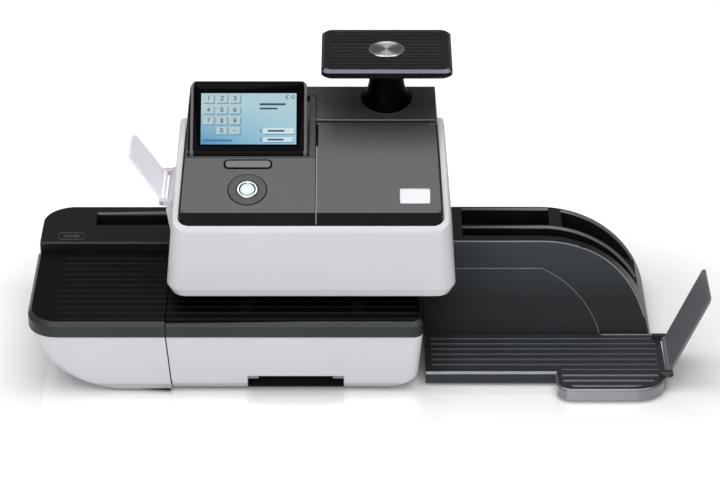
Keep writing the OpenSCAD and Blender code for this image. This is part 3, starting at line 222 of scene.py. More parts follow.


# Recess and seam details: grey stops in the recess's upper corners, a dark sheet of
# painted shadow below it, and the dark gap of the leaning seam between feed end and base.

def put(name, parts, body, bevel=0.0, segments=2):
    """One object of several closed plates, each (points below, points above, material)."""
    verts, faces, index, mats = [], [], [], []
    for low, high, material in parts:
        n, at = len(low), len(verts)
        verts += [tuple(c * MM for c in p) for p in low + high]
        rings = [tuple(range(at + n - 1, at - 1, -1)), tuple(range(at + n, at + 2 * n))]
        rings += [(at + i, at + (i + 1) % n, at + n + (i + 1) % n, at + n + i) for i in range(n)]
        if material not in mats:
            mats.append(material)
        faces += rings
        index += [mats.index(material)] * len(rings)
    mesh = bpy.data.meshes.new(name)
    mesh.from_pydata(verts, [], faces)
    for material in mats:
        mesh.materials.append(material)
    mesh.polygons.foreach_set("material_index", index)
    return settle(name, mesh, body, bevel, segments)


def rounded(x0, x1, y0, y1, r, steps=4):
    """Outline of a rectangle with round corners, counter-clockwise."""
    spots = [(x1 - r, y0 + r, -90), (x1 - r, y1 - r, 0), (x0 + r, y1 - r, 90), (x0 + r, y0 + r, 180)]
    turns = [(cx, cy, math.radians(a + 90 * i / steps)) for cx, cy, a in spots for i in range(steps + 1)]
    return [(cx + r * math.cos(turn), cy + r * math.sin(turn)) for cx, cy, turn in turns]


def plate(outline, low, high, place, material, inset=0.0):
    """Plate of a flat outline between two heights, its top drawn in by an inset."""
    def drawn_in(value, middle):
        return value - math.copysign(min(inset, abs(value - middle)), value - middle)

    cx = sum(p[0] for p in outline) / len(outline)
    cy = sum(p[1] for p in outline) / len(outline)
    near = [(drawn_in(x, cx), drawn_in(y, cy)) for x, y in outline]
    return [place(x, y, low) for x, y in outline], [place(x, y, high) for x, y in near], material


def flat(height):
    """Place on a level surface at a height."""
    return lambda x, y, n: (x, y, height + n)


SKIRT_Y = -107.6


def on_front(x, z, n):
    """Point in front of the skirts' upright face."""
    return x, SKIRT_Y - n, z


# Grey ABS, a dull spot at each end of the dark opening.
STOP_GREY = moulded("grey_recess_stop", "#77777a", "#828285", 0.5, 0.6, 0.006)
stops = [rounded(x, x + 11, 14.4, 17.2, 0.8) for x in (RECESS_X[0] - 0.2, RECESS_X[1] - 10.8)]
put("recess_stops", [plate(stop, -2.5, 0.1, on_front, STOP_GREY) for stop in stops], "machine")
# A thin black sheet over the open bottom of the recess: painted shadow.
painted_shadow_sheet = rounded(RECESS_X[0] + 0.2, RECESS_X[1] - 0.2, -103.6, -83, 0.5)
put("recess_sill", [plate(painted_shadow_sheet, 2.55, 3.1, flat(0), RECESS_BLACK)], "machine")
skirt_seam = [(-195.3, 9), (-193.8, 9), (-198.25, 61.8), (-199.75, 61.8)]
trim_seam = [(-199.75, 62.2), (-198.25, 62.2), (-198.25, 73.8), (-199.75, 73.8)]
put("skirt_seam_gap", [plate(skirt_seam, -1.5, 0.34, on_front, RECESS_BLACK),
                       plate(trim_seam, -1.5, 1.34, on_front, RECESS_BLACK)], "machine")


# Decks: one dark moulding clipped on each shell, satin on top along the feed path, with
# low ribs, a chamfer all round and a smooth blue-grey trim band below it.

# Black ABS: deep black on top and a blue-grey band at the rim, with the chamfer between
# them drawn lighter as a painted highlight.
DECK_BLACK = moulded("black_deck_abs", "#060707", "#0a0b0b", 0.34, 0.6, 0.008, 0.12)
DECK_BAND = moulded("blue_grey_trim_band", "#1f2628", "#252c2e", 0.36, 0.8, 0.006, 0.25)
DECK_EDGE_HIGHLIGHT = moulded("grey_trim_chamfer_painted_highlight", "#282a2d", "#2f3134", 0.3, 0.8, 0.006, 0.5)


def deck_rim(mid):
    """True along the decks' front and round the feed end's left side."""
    return mid.z < 78.5 and (mid.y < -100 or mid.x < -300)


def trim(mid, normal):
    """True for the upright trim band."""
    return deck_rim(mid) and abs(normal.z) < 0.35


def chamfer_highlight(mid, normal):
    """True for the chamfer above the band, drawn lighter as a painted highlight."""
    return deck_rim(mid) and 0.35 <= normal.z < 0.85


for name in ("feed_deck", "base_deck"):
    dress(name, DECK_BLACK, 0.5, zones=[(DECK_BAND, trim), (DECK_EDGE_HIGHLIGHT, chamfer_highlight)], split=name == "base_deck")


# Back block of the feed end: a moulded side guide with a long pocket for pens, soft
# edges and a raised arrow in a frame that shows the way of the feed.

def ring_parts(outer, inner, low, high, place, material):
    """Plates that make a closed frame between two outlines of equal count."""
    n = len(outer)
    return [plate([outer[i], outer[(i + 1) % n], inner[(i + 1) % n], inner[i]], low, high, place, material)
            for i in range(n)]


BLOCK_TOP, PEN_POCKET_Y = 87.5, 101


def block_front(a, b):
    """True for the block's upper front edge, along the feed path."""
    return min(a.z, b.z) > BLOCK_TOP - 0.5 and max(a.y, b.y) < 40


def pocket_back(a, b):
    """True for the rear edge of the long pocket."""
    return all(p.z > BLOCK_TOP - 0.5 and abs(p.y - PEN_POCKET_Y) < 0.5 for p in (a, b))


def pocket_sheen(mid, normal):
    """True for the chamfer of that edge, which gets a painted highlight."""
    near = PEN_POCKET_Y - 1.5 < mid.y < PEN_POCKET_Y + 4 and mid.z > BLOCK_TOP - 4.5
    return near and normal.y < -0.15 and normal.z > 0.12


# Black ABS: satin, with a grey painted highlight on the chamfer of the pocket's rear edge.
BLOCK_BLACK = moulded("black_block_abs", "#0d0f10", "#121415", 0.36, 0.6, 0.01, 0.35)
EDGE_HIGHLIGHT_GREY = moulded("grey_edge_painted_highlight", "#56575b", "#606165", 0.34, 0.6, 0.005, 0.6)
dress("feed_guide_block", BLOCK_BLACK, 0.8, round_edges=[(2.2, 4, block_front), (3.0, 1, pocket_back)],
      zones=[(EDGE_HIGHLIGHT_GREY, pocket_sheen)])

# Same moulding, a little lighter where the raised mark is rubbed.
MARK_GREY = moulded("raised_grey_mark", "#303436", "#363a3c", 0.4, 0.6, 0.004)
ON_BLOCK = flat(BLOCK_TOP)
arrow = [(-311, 49), (-299, 49), (-299, 46.4), (-293.5, 51), (-299, 55.6), (-299, 53), (-311, 53)]
frame_out = rounded(-316, -289.5, 43.6, 58.4, 3.2)
frame_in = rounded(-315.2, -290.3, 44.4, 57.6, 2.4)
put("feed_arrow_mark", [plate(arrow, -0.3, 0.35, ON_BLOCK, MARK_GREY)]
    + ring_parts(frame_out, frame_in, -0.3, 0.3, ON_BLOCK, MARK_GREY), "machine")


# Transport: sheet steel side plates with bronze bushes, two ground shafts with
# rubber tyres that reach through the deck and drive the feed.

# Sintered bronze: brown-yellow metal, dull from its pores.
BRONZE = moulded("sintered_bronze", "#a8783c", "#b88a4a", 0.42, 0.7, 0.008, metal=1.0)
dress("roller_frame", STEEL, 0.3, 2)
dress("shaft_bushes", BRONZE, 0.2, 2)
for name in ("drive_roller", "exit_roller"):
    dress(name, STEEL, 0.2, 2)
for name in ("drive_tyres", "exit_tyres"):
    dress(name, RUBBER, 0.6, 2)


# Drive: a can motor hung on the back plate, with a steel pulley pressed on its shaft
# and a black toothed rubber belt to the drive shaft.

# Deep drawn steel: mid-grey with faint lines along the can.
MOTOR_CASE = moulded("drawn_motor_can", "#5c5f63", "#6a6d70", 0.34, 2.0, 0.004, metal=1.0,
                     stretch=(1, 0.1, 1))
dress("feed_motor", MOTOR_CASE, 0.6)
dress("motor_pulley", STEEL, 0.3, 2)
dress("drive_belt", RUBBER, 0.2, 2)


# Electronics on the pan: a green main board and a folded aluminium supply, and the
# switch board under the keys.

def circuit(name):
    """Glossy green solder mask over lighter copper paths, on a grid of 4 mm."""
    mat, tree, shader, where = blank(name)
    greens = {"Color1": srgb("#0f4a2c"), "Color2": srgb("#14572f"), "Mortar": srgb("#2f7d4c")}
    paths = add(tree, "ShaderNodeTexBrick", {"Scale": 1 / (4 * MM), "Mortar Size": 0.03, **greens},
                {"Vector": where})
    tree.links.new(paths.outputs["Color"], shader.inputs["Base Color"])
    shader.inputs["Roughness"].default_value = 0.35
    return mat


CIRCUIT = circuit("green_circuit_board")
# Brushed aluminium: pale grey with fine lines across.
ALUMINIUM = moulded("brushed_aluminium", "#a6a8ab", "#b8babc", 0.3, 0.5, 0.004, metal=1.0,
                    stretch=(0.05, 1, 1))
dress("main_board", CIRCUIT, 0.2, 2)
dress("key_board", CIRCUIT, 0.2, 2)
dress("power_supply", ALUMINIUM, 0.4, 2)


# Head: one white hood with a chamfered foot, drafted sides and a rim round the dark
# covers. A dark plate closes it below, open round rollers and print unit.

HEAD_X, HEAD_Z = -56.1, 94
DRAFT = math.tan(math.radians(5))


def hood_rim(a, b):
    """True for the hood's outer top edge, at the front and along both drafted sides."""
    def outer(p):
        return p.y < -71 or abs(p.x - HEAD_X) > 142 - (p.z - HEAD_Z) * DRAFT
    return min(a.z, b.z) > 158 and outer(a) and outer(b)


# The skirts' ABS, drawn a shade darker on the steep chamfer at the foot: painted shade.
HOOD_ABS = moulded("white_hood_abs", "#c7c4c9", "#cdcace", 0.5, 0.5, 0.012)
toward(HOOD_ABS, "#c1bec3", between(HOOD_ABS, axes_of(HOOD_ABS)["Z"], 101.3, 100.6))
dress("head_shell", HOOD_ABS, 0.7, round_edges=[(3.2, 4, hood_rim)], split=True)
dress("head_base", BLACK_ABS, 0.4)


# Dark covers: charcoal moulding with a fine texture. The control panel is on the
# left, the ink cover on the right lifts on a hinge at the rear seam.

# Charcoal ABS with a fine texture: even dark grey in broad light. The band where the covers
# turn down and the strips along both drafted sides are drawn near black as painted shade.
# The scale's neck is polished and swallows the light.
CHARCOAL = moulded("charcoal_textured_abs", "#353538", "#3c3c3f", 0.42, 0.45, 0.014, 0.5)
CHARCOAL_SHADE = moulded("charcoal_band_painted_shade", "#090a0c", "#0e0f11", 0.5, 0.45, 0.008, 0.1)
NECK_AND_SHADOW_BLACK = moulded("black_gloss_neck_and_painted_shadow", "#020202", "#030303", 0.4, 0.8, 0.004, 0.02)
FRONT_Y, FRONT_H, FRONT_LEAN = -84, 67, math.radians(10)
RIM_DEEP, BAND_DEEP, BAND_H = 5.6, 6, 10.4
PANEL_SLOPE = math.radians(23.5)
PANEL_Y, PANEL_Z = FRONT_Y + FRONT_H * math.tan(FRONT_LEAN) + (RIM_DEEP + BAND_DEEP), 175.0
KEY_X = -118.77
SEAM_X = -51.8


def on_panel(x, s, n):
    """Point of the sloped panel: across, up the slope from its front edge, and out of it."""
    return (x, PANEL_Y + s * math.cos(PANEL_SLOPE) - n * math.sin(PANEL_SLOPE),
            PANEL_Z + s * math.sin(PANEL_SLOPE) + n * math.cos(PANEL_SLOPE))


BAND_HALF = 134.8


def cover_painted_light_and_shade(name, corner=8.0):
    """Charcoal cover drawn a shade lighter than the rear cover as painted light. Its front corners
    round off, by a radius in mm, into the band's painted shade.
    """
    mat = moulded(name, "#39393c", "#404043", 0.42, 0.45, 0.014, 0.5)
    tree, axes = mat.node_tree, axes_of(mat)
    inset = corner - BAND_HALF - HEAD_Z * DRAFT
    slant = 1 / math.cos(PANEL_SLOPE)
    shift = add(tree, "ShaderNodeMath", {"operation": "SUBTRACT", 1: HEAD_X * MM}, {0: axes["X"]})
    side = add(tree, "ShaderNodeMath", {"operation": "ABSOLUTE"}, {0: shift.outputs[0]})
    lean = add(tree, "ShaderNodeMath", {"operation": "MULTIPLY_ADD", 1: DRAFT, 2: inset * MM}, {0: axes["Z"]})
    in_x = add(tree, "ShaderNodeMath", {"operation": "ADD"}, {0: side.outputs[0], 1: lean.outputs[0]})
    start = (corner + PANEL_Y * slant) * MM
    in_s = add(tree, "ShaderNodeMath", {"operation": "MULTIPLY_ADD", 1: -slant, 2: start}, {0: axes["Y"]})
    arm = add(tree, "ShaderNodeCombineXYZ", None, {0: in_x.outputs[0], 1: in_s.outputs[0]})
    past = add(tree, "ShaderNodeVectorMath", {"operation": "MAXIMUM", 1: (0, 0, 0)}, {0: arm.outputs[0]})
    far = add(tree, "ShaderNodeVectorMath", {"operation": "LENGTH"}, {0: past.outputs["Vector"]})
    toward(mat, "#0a0b0d", between(mat, far.outputs["Value"], corner - 0.6, corner + 0.6))
    return mat


def shaded_band(mid, normal):
    """True for the covers' front band and the strips along both drafted sides: painted shade."""
    strip = abs(mid.x - HEAD_X) > BAND_HALF - (mid.z - HEAD_Z) * DRAFT
    return (normal.y < -0.6 and mid.z < PANEL_Z + 1) or (strip and normal.z > 0.3)


COVER = cover_painted_light_and_shade("charcoal_rolled_cover")
SIDE_CUTS = [((HEAD_X + side * BAND_HALF, 0, HEAD_Z), (1, 0, side * DRAFT)) for side in (-1, 1)]
for name in ("control_panel", "ink_cover"):
    dress(name, COVER, 0.4, zones=[(CHARCOAL_SHADE, shaded_band)], cuts=SIDE_CUTS)
NECK_X, NECK_Y = 18.6, 81


def neck_shadow_seat(mid, normal):
    """True for the round seat that the scale's neck stands on, painted black as the neck's shadow."""
    near = math.hypot(mid.x - NECK_X, mid.y - NECK_Y) < 30 and mid.z > 215
    return near and (abs(normal.z) < 0.3 or mid.z > 229)


# The neck's black on the rear cover round its seat is painted shadow.
dress("rear_cover", CHARCOAL, 0.5, zones=[(NECK_AND_SHADOW_BLACK, neck_shadow_seat)])
dress("ink_hinge_pin", STEEL, 0.2, 2)


# Seam beads: a thin grey lip runs along the ink cover's left edge and along the rear
# cover's front edge, drawn light as a painted highlight, with a dark finger gap of painted
# shade near the rear end of the middle seam.

# Grey ABS for the beads, a thin light line of painted highlight, also the label pin's own
# grey, and dull black of painted shade for what lies deep in a gap.
GREY_PIN_AND_SEAM_HIGHLIGHT = moulded("grey_pin_and_seam_highlight", "#8f9094", "#9b9c9f", 0.45, 0.6, 0.004)
GAP_SHADE_BLACK = moulded("painted_gap_shade", "#060607", "#0a0a0b", 0.8, 0.8, 0.01, 0.1)


def on_band(x, s, n):
    """Point of the covers' front band: across, down from the panel's edge, and out of it."""
    lean = math.atan2(BAND_H, BAND_DEEP)
    return (x, PANEL_Y - s * math.cos(lean) - n * math.sin(lean),
            PANEL_Z - s * math.sin(lean) + n * math.cos(lean))


def bar(x0, x1, s0, s1, low, high, place, material, inset=0.0):
    """Straight bar on a cover."""
    return plate([(x0, s0), (x1, s0), (x1, s1), (x0, s1)], low, high, place, material, inset)


put("middle_seam_highlight_lip", [bar(SEAM_X + 0.3, SEAM_X + 1.3, 0, 84, -0.4, 0.22, on_panel, GREY_PIN_AND_SEAM_HIGHLIGHT, 0.15),
                        bar(SEAM_X + 1.3, SEAM_X + 0.3, 0, 11.4, -0.4, 0.22, on_band, GREY_PIN_AND_SEAM_HIGHLIGHT, 0.15)],
    "ink_flap")
put("middle_seam_gap_shade", [bar(SEAM_X + 0.3, SEAM_X + 2.4, 84.2, 111.5, -0.4, 0.08, on_panel, GAP_SHADE_BLACK)],
    "ink_flap")
put("rear_seam_highlight_lip", [bar(SEAM_X + 0.4, 66.5, 117.6, 118.5, -0.4, 0.2, on_panel, GREY_PIN_AND_SEAM_HIGHLIGHT, 0.15)],
    "machine")


# Badge place: a small satin plate with a raised edge, stuck near the ink cover's front
# corner and left bare.

# Metallised plate: bright silver with fine lines across.
BADGE = moulded("satin_metal_plate", "#bdbcc0", "#c8c7ca", 0.42, 0.4, 0.003, metal=0.35,
                stretch=(0.06, 1, 1))
badge = rounded(31.2, 60.8, 11.2, 29.8, 1.2)
badge_field = rounded(32.1, 59.9, 12.1, 28.9, 0.8)
put("badge_plate", [plate(badge, -0.3, 0.5, on_panel, BADGE, 0.3)]
    + ring_parts(badge, badge_field, -0.2, 0.8, on_panel, BADGE), "ink_flap", 0.12)


# Keys: a round start key with a lit lens in a bright ring, and the pill-shaped key
# that lets the display tilt, each in a gap drawn dark with painted shade.

# Milky polycarbonate lit from below, a chromed ring round it, and textured key caps.
LENS = moulded("lit_white_lens", "#bccacd", "#c6d2d4", 0.3, 2.0, 0.0)
shader_of(LENS).inputs["Emission Color"].default_value = srgb("#f2fcff")
shader_of(LENS).inputs["Emission Strength"].default_value = 0.1
CHROME = moulded("bright_chrome_ring", "#b4b3b6", "#c0bfc2", 0.2, 3.0, 0.0, metal=1.0)
KEY_DARK = moulded("dark_key_abs", "#222224", "#28282a", 0.4, 0.45, 0.012, 0.5)
KEY_GREY = moulded("grey_key_abs", "#505154", "#58595c", 0.36, 0.45, 0.01, 0.55)


def lathe(name, profile, centre, place, materials, body, steps=72):
    """Round piece about a normal of the panel: profile is (radius, height, material) from the middle out."""
    n = len(profile)
    turns = [2 * math.pi * k / steps for k in range(steps)]
    verts = [tuple(c * MM for c in place(centre[0] + r * math.cos(turn), centre[1] + r * math.sin(turn), h))
             for turn in turns for r, h, _ in profile]
    faces, index = [], []
    for k in range(steps):
        here, there = k * n, (k + 1) % steps * n
        for i in range(n - 1):
            faces.append((here + i, here + i + 1, there + i + 1, there + i))
            index.append(profile[i][2])
    faces += [tuple(k * n for k in range(steps))[::-1], tuple(k * n + n - 1 for k in range(steps))]
    index += [profile[0][2], profile[-1][2]]
    mesh = bpy.data.meshes.new(name)
    mesh.from_pydata(verts, [], faces)
    for material in materials:
        mesh.materials.append(material)
    mesh.polygons.foreach_set("material_index", index)
    bm = bmesh.new()
    bm.from_mesh(mesh)
    bmesh.ops.recalc_face_normals(bm, faces=bm.faces)
    bm.to_mesh(mesh)
    bm.free()
    return settle(name, mesh, body)


dress("start_button", KEY_DARK, 0.8)
START_S, RELEASE_S = 29, 61
# The groove's floor between lens and ring is drawn black: painted shade.
lens_profile = [(0.4, 1.55, 0), (3, 1.5, 0), (5.6, 1.3, 0), (6.8, 0.95, 0), (7.0, 0.3, 2), (7.9, 0.3, 1),
                (8.1, 1.1, 1), (8.8, 1.5, 1), (9.7, 1.4, 1), (10.4, 1.0, 1), (10.78, 0.5, 1),
                (10.78, -1.2, 1), (0.4, -1.2, 1)]
lens = lathe("start_lens_form", lens_profile, (KEY_X, START_S), on_panel, [LENS, CHROME, GAP_SHADE_BLACK],
             BODY_OF["start_lens"])
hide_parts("start_lens")


def key_rim(a, b):
    """True for the key's upper edge, which stands proud of the panel."""
    return all(p.z - on_panel(0, (p.y - PANEL_Y) / math.cos(PANEL_SLOPE), 0)[2] > 0.4 for p in (a, b))


def shaded_key_sides(mid, normal):
    """True for all faces of the key but its top, which get painted shade."""
    return normal.z * math.cos(PANEL_SLOPE) - normal.y * math.sin(PANEL_SLOPE) < 0.93


dress("display_release_key", KEY_GREY, 0, round_edges=[(1.7, 4, key_rim)], zones=[(GAP_SHADE_BLACK, shaded_key_sides)])
key_edge = rounded(KEY_X - 23.6, KEY_X + 23.6, RELEASE_S - 5.65, RELEASE_S + 5.65, 4.65)
gap_edge = rounded(KEY_X - 24.2, KEY_X + 24.2, RELEASE_S - 6.2, RELEASE_S + 6.2, 5.2)
put("release_key_gap_shade", ring_parts(gap_edge, key_edge, -0.5, 0.06, on_panel, GAP_SHADE_BLACK),
    "machine")


# Display: a thin tilting screen that lies in a bay behind the panel on a dark hinge
# shaft. Its black front glass reaches the foot, the frame round it is grey.

DISPLAY_TILT = math.radians(43.5)
DISPLAY_Y, DISPLAY_Z = 12.91, 202.82


def on_display(x, u, n):
    """Point of the display: across from its middle, up from the hinge, and out of the glass."""
    return (KEY_X + x, DISPLAY_Y + u * math.cos(DISPLAY_TILT) - n * math.sin(DISPLAY_TILT),
            DISPLAY_Z + u * math.sin(DISPLAY_TILT) + n * math.cos(DISPLAY_TILT))


def beside_display(mid, normal):
    """True for the bay's rims, which lie flush with the sloped panel."""
    return normal.z > 0.5 and abs(mid.x - KEY_X) > 60


def frame_finish(name):
    """Grey moulding at both sides of the display that turns dark along its top."""
    mat = moulded(name, "#070708", "#0b0b0c", 0.45, 0.5, 0.006, 0.06)
    tree, axes = mat.node_tree, axes_of(mat)
    shift = add(tree, "ShaderNodeMath", {"operation": "SUBTRACT", 1: KEY_X * MM}, {0: axes["X"]})
    side = add(tree, "ShaderNodeMath", {"operation": "ABSOLUTE"}, {0: shift.outputs[0]})
    toward(mat, "#626368", between(mat, side.outputs[0], 54.3, 55.1))
    return mat


# Painted frame, black float glass that shows little but the picture, and blued steel.
GREY_FRAME = frame_finish("grey_display_frame")
BEZEL = moulded("black_display_glass", "#030304", "#050506", 0.16, 8.0, 0.0, 0.03)
SHAFT_BLACK = moulded("blackened_steel", "#101113", "#17181a", 0.45, 1.0, 0.004, 0.4)
dress("display_bay", BLACK_ABS, 0.4, zones=[(COVER, beside_display), (CHARCOAL_SHADE, shaded_band)],
      cuts=SIDE_CUTS)
dress("display_hinge_shaft", SHAFT_BLACK, 0.2, 2)
dress("display_housing", GREY_FRAME, 0.9, 4, split=True)
dress("display_glass", BEZEL, 0)


# Screen: a lit touch panel. It shows a number pad at the left, two lines and two
# wide buttons at the right, drawn as plain bars.

def lit(name, low, high, glow=0.9):
    """Part of the lit picture: black surface that glows, a little uneven over 20 mm."""
    mat, tree, shader, where = blank(name)
    cloud = add(tree, "ShaderNodeTexNoise", {"Scale": 1 / (20 * MM)}, {"Vector": where})
    tint = add(tree, "ShaderNodeMix", {"data_type": "RGBA", 6: srgb(low), 7: srgb(high)},
               {0: cloud.outputs["Fac"]})
    tree.links.new(tint.outputs[2], shader.inputs["Emission Color"])
    shader.inputs["Emission Strength"].default_value = glow
    shader.inputs["Base Color"].default_value = srgb("#050708")
    shader.inputs["Roughness"].default_value = 0.3
    shader.inputs["Specular IOR Level"].default_value = 0.2
    return mat


def glow_field(name):
    """Picture ground: pale at the top, deep blue at the lower left, pale blue at the lower right."""
    mat = lit(name, "#a9cfd8", "#b9d6dc")
    tree, shader, axes = mat.node_tree, shader_of(mat), axes_of(mat)
    across = between(mat, axes["X"], KEY_X - 47.5, KEY_X + 47.5)
    foot = add(tree, "ShaderNodeMix", {"data_type": "RGBA", 6: srgb("#4a98c2"), 7: srgb("#a6d1e4")},
               {0: across})
    up = between(mat, axes["Z"], on_display(0, 7, 6)[2], on_display(0, 46, 6)[2])
    top = shader.inputs["Emission Color"].links[0].from_socket
    field = add(tree, "ShaderNodeMix", {"data_type": "RGBA"}, {0: up, 6: foot.outputs[2], 7: top})
    tree.links.new(field.outputs[2], shader.inputs["Emission Color"])
    return mat


dress("display_lcd", glow_field("lit_screen"), 0)

# Colours of the lit picture: pale keys and buttons with a blue shade, dark blue ink.
KEY_FACE = lit("screen_key_face", "#b4cbcd", "#c0d4d5")
KEY_SHADE = lit("screen_key_shade", "#5f9dbb", "#6ba6c0")
INK_DARK = lit("screen_dark_ink", "#2b4a5c", "#35556a", 0.8)
PALE_BUTTON = lit("screen_pale_button", "#cfe5ea", "#dbecf0")
DEEP_BLUE = lit("screen_deep_blue", "#2f78a8", "#3a83b0")


SCREEN_WIDE, SCREEN_HIGH, SCREEN_UP = 94.9, 53.9, 60.95
SCREEN_LOW, SCREEN_TOP, LAYER = 5.93, 5.95, 0.02


def spot(fx, fy):
    """Place on the screen from fractions across and down."""
    return -SCREEN_WIDE / 2 + SCREEN_WIDE * fx, SCREEN_UP - SCREEN_HIGH * fy


def tile(fx0, fx1, fy0, fy1, level, material, radius=0.8):
    """Rounded tile on the screen from its fractions across and down."""
    (x0, u1), (x1, u0) = spot(fx0, fy0), spot(fx1, fy1)
    outline = rounded(x0, x1, u0, u1, radius)
    return plate(outline, SCREEN_LOW, SCREEN_TOP + LAYER * level, on_display, material)


def stroke(points, width, level, material):
    """Thin bars along a line of places on the screen."""
    made = []
    for (x0, y0), (x1, y1) in zip(points, points[1:]):
        run = math.hypot(x1 - x0, y1 - y0)
        dx, dy = (x1 - x0) / run * width / 2, (y1 - y0) / run * width / 2
        corners = [(x0 - dx + dy, y0 - dy - dx), (x1 + dx + dy, y1 + dy - dx),
                   (x1 + dx - dy, y1 + dy + dx), (x0 - dx - dy, y0 - dy + dx)]
        made.append(plate(corners, SCREEN_LOW, SCREEN_TOP + LAYER * level, on_display, material))
    return made


DIGITS = {"1": [[(0.3, 0.8), (0.6, 1), (0.6, 0)]],
          "2": [[(0, 0.85), (0.3, 1), (0.8, 1), (1, 0.75), (0, 0), (1, 0)]],
          "3": [[(0, 1), (0.8, 1), (1, 0.75), (0.7, 0.52), (1, 0.25), (0.8, 0), (0, 0)],
                [(0.3, 0.52), (0.7, 0.52)]],
          "4": [[(0.75, 0), (0.75, 1), (0, 0.3), (1, 0.3)]],
          "5": [[(1, 1), (0.1, 1), (0, 0.55), (0.7, 0.6), (1, 0.35), (0.8, 0), (0, 0)]],
          "6": [[(0.9, 1), (0.3, 0.9), (0, 0.4), (0.2, 0), (0.8, 0), (1, 0.3), (0.8, 0.55), (0.1, 0.5)]],
          "7": [[(0, 1), (1, 1), (0.35, 0)]],
          "8": [[(0.5, 0.53), (0.1, 0.75), (0.25, 1), (0.75, 1), (0.9, 0.75), (0.5, 0.53), (0, 0.25),
                 (0.2, 0), (0.8, 0), (1, 0.25), (0.5, 0.53)]],
          "9": [[(0.1, 0), (0.7, 0.1), (1, 0.6), (0.8, 1), (0.2, 1), (0, 0.7), (0.2, 0.45), (0.95, 0.5)]],
          "0": [[(0.2, 0), (0, 0.3), (0, 0.7), (0.2, 1), (0.8, 1), (1, 0.7), (1, 0.3), (0.8, 0), (0.2, 0)]],
          "-": [[(0, 0.5), (1, 0.5)]]}
COLUMNS = [(0.022, 0.133), (0.163, 0.274), (0.299, 0.41)]
ROWS = [(0.014, 0.186), (0.247, 0.4), (0.46, 0.61), (0.66, 0.8)]
picture = []
for row, marks in zip(ROWS, ("123", "456", "789", " 0-")):
    for column, mark in zip(COLUMNS, marks):
        if mark == " ":
            continue
        (left, right), (top, foot) = column, row
        picture.append(tile(left + 0.006, right + 0.012, top + 0.016, foot + 0.026, 1, KEY_SHADE))
        picture.append(tile(left, right, top, foot, 2, KEY_FACE))
        x, u = spot((left + right) / 2, (top + foot) / 2)
        for line in DIGITS[mark]:
            picture += stroke([(x - 1.2 + 2.4 * a, u - 1.9 + 3.8 * b) for a, b in line], 0.75, 3, INK_DARK)
for fx0, fx1, fy0, fy1 in ((0.614, 0.886, 0.196, 0.237), (0.614, 0.80, 0.283, 0.318)):
    picture.append(tile(fx0, fx1, fy0, fy1, 2, INK_DARK, 0.4))
for fx1, fy0, fy1 in ((0.978, 0.682, 0.794), (0.967, 0.864, 0.955)):
    picture.append(tile(0.656, fx1 + 0.006, fy0 + 0.012, fy1 + 0.022, 1, KEY_SHADE))
    picture.append(tile(0.652, fx1, fy0, fy1, 2, PALE_BUTTON))
    middle = (fy0 + fy1) / 2
    picture.append(tile(0.70, fx1 - 0.1, middle - 0.017, middle + 0.017, 3, INK_DARK, 0.4))
    hook = [spot(0.638, middle - 0.03), spot(0.622, middle), spot(0.638, middle + 0.03)]
    picture += stroke(hook, 0.6, 2, INK_DARK)
picture.append(tile(0.022, 0.326, 0.905, 0.945, 2, DEEP_BLUE, 0.6))
picture += stroke([spot(0.912, 0.035), spot(0.89, 0.075), spot(0.912, 0.115)], 0.8, 2, INK_DARK)
ring = [spot(0.962 + 0.016 * math.cos(a), 0.075 + 0.028 * math.sin(a))
        for a in [k * math.pi / 8 for k in range(17)]]
picture += stroke(ring, 0.6, 2, INK_DARK)
put("screen_picture", picture, "display")


# Rear housing and inlet: a black body behind the feed path carries head and covers,
# with the mains inlet in its back.

dress("rear_housing", BLACK_ABS, 0.6)
dress("power_inlet", BLACK_ABS, 0.4)


# Print gear: a sprung steel carrier presses two soft rollers down on the transport,
# the print unit and its ink case sit between them.

# Blue polypropylene: satin, a little waxy.
INK_CASE = moulded("blue_ink_case", "#1f3f78", "#274a86", 0.38, 0.6, 0.008)
dress("pressure_carrier", STEEL, 0.3, 2)
for name in ("pressure_roller_in", "pressure_roller_out"):
    dress(name, RUBBER, 0.5, 2)
dress("print_unit", BLACK_ABS, 0.4, 2)
dress("ink_cartridge", INK_CASE, 0.6)


# Weighing gear: a black neck on the rear cover, an aluminium load cell inside it and
# a wide platform with a pale chamfer along its front, partly a light strip of its own and
# partly a painted reflection.

def radius_from(tree, where, centre):
    """Vector from an upright axis at a centre in mm, and its length."""
    middle = (centre[0] * MM, centre[1] * MM, 0)
    arm = add(tree, "ShaderNodeVectorMath", {"operation": "SUBTRACT", 1: middle}, {0: where})
    level = add(tree, "ShaderNodeVectorMath", {"operation": "MULTIPLY", 1: (1, 1, 0)},
                {0: arm.outputs["Vector"]})
    far = add(tree, "ShaderNodeVectorMath", {"operation": "LENGTH"}, {0: level.outputs["Vector"]})
    return level.outputs["Vector"], far.outputs["Value"]


def turned(name, low, high, rough, centre):
    """Metal disc turned on a lathe: rings about its middle fan out the light, coarse enough to show."""
    mat, tree, shader, where = blank(name)
    arm, far = radius_from(tree, where, centre)
    # The rim is drawn near white: a painted highlight on the disc's outer bevel.
    rim = between(mat, far, 15.9, 16.3)
    spacing = 0.5 * MM
    rings = add(tree, "ShaderNodeTexNoise", {"noise_dimensions": "1D", "Scale": 1 / spacing, "Detail": 2.0},
                {"W": far})
    tint = add(tree, "ShaderNodeMix", {"data_type": "RGBA", 6: srgb(low), 7: srgb(high)},
               {0: rings.outputs["Fac"]})
    tree.links.new(tint.outputs[2], shader.inputs["Base Color"])
    toward(mat, "#e2e2de", rim)
    tree.links.new(arm, shader.inputs["Tangent"])
    shader.inputs["Anisotropic"].default_value = 0.85
    shader.inputs["Metallic"].default_value = 1.0
    shader.inputs["Roughness"].default_value = rough
    return mat


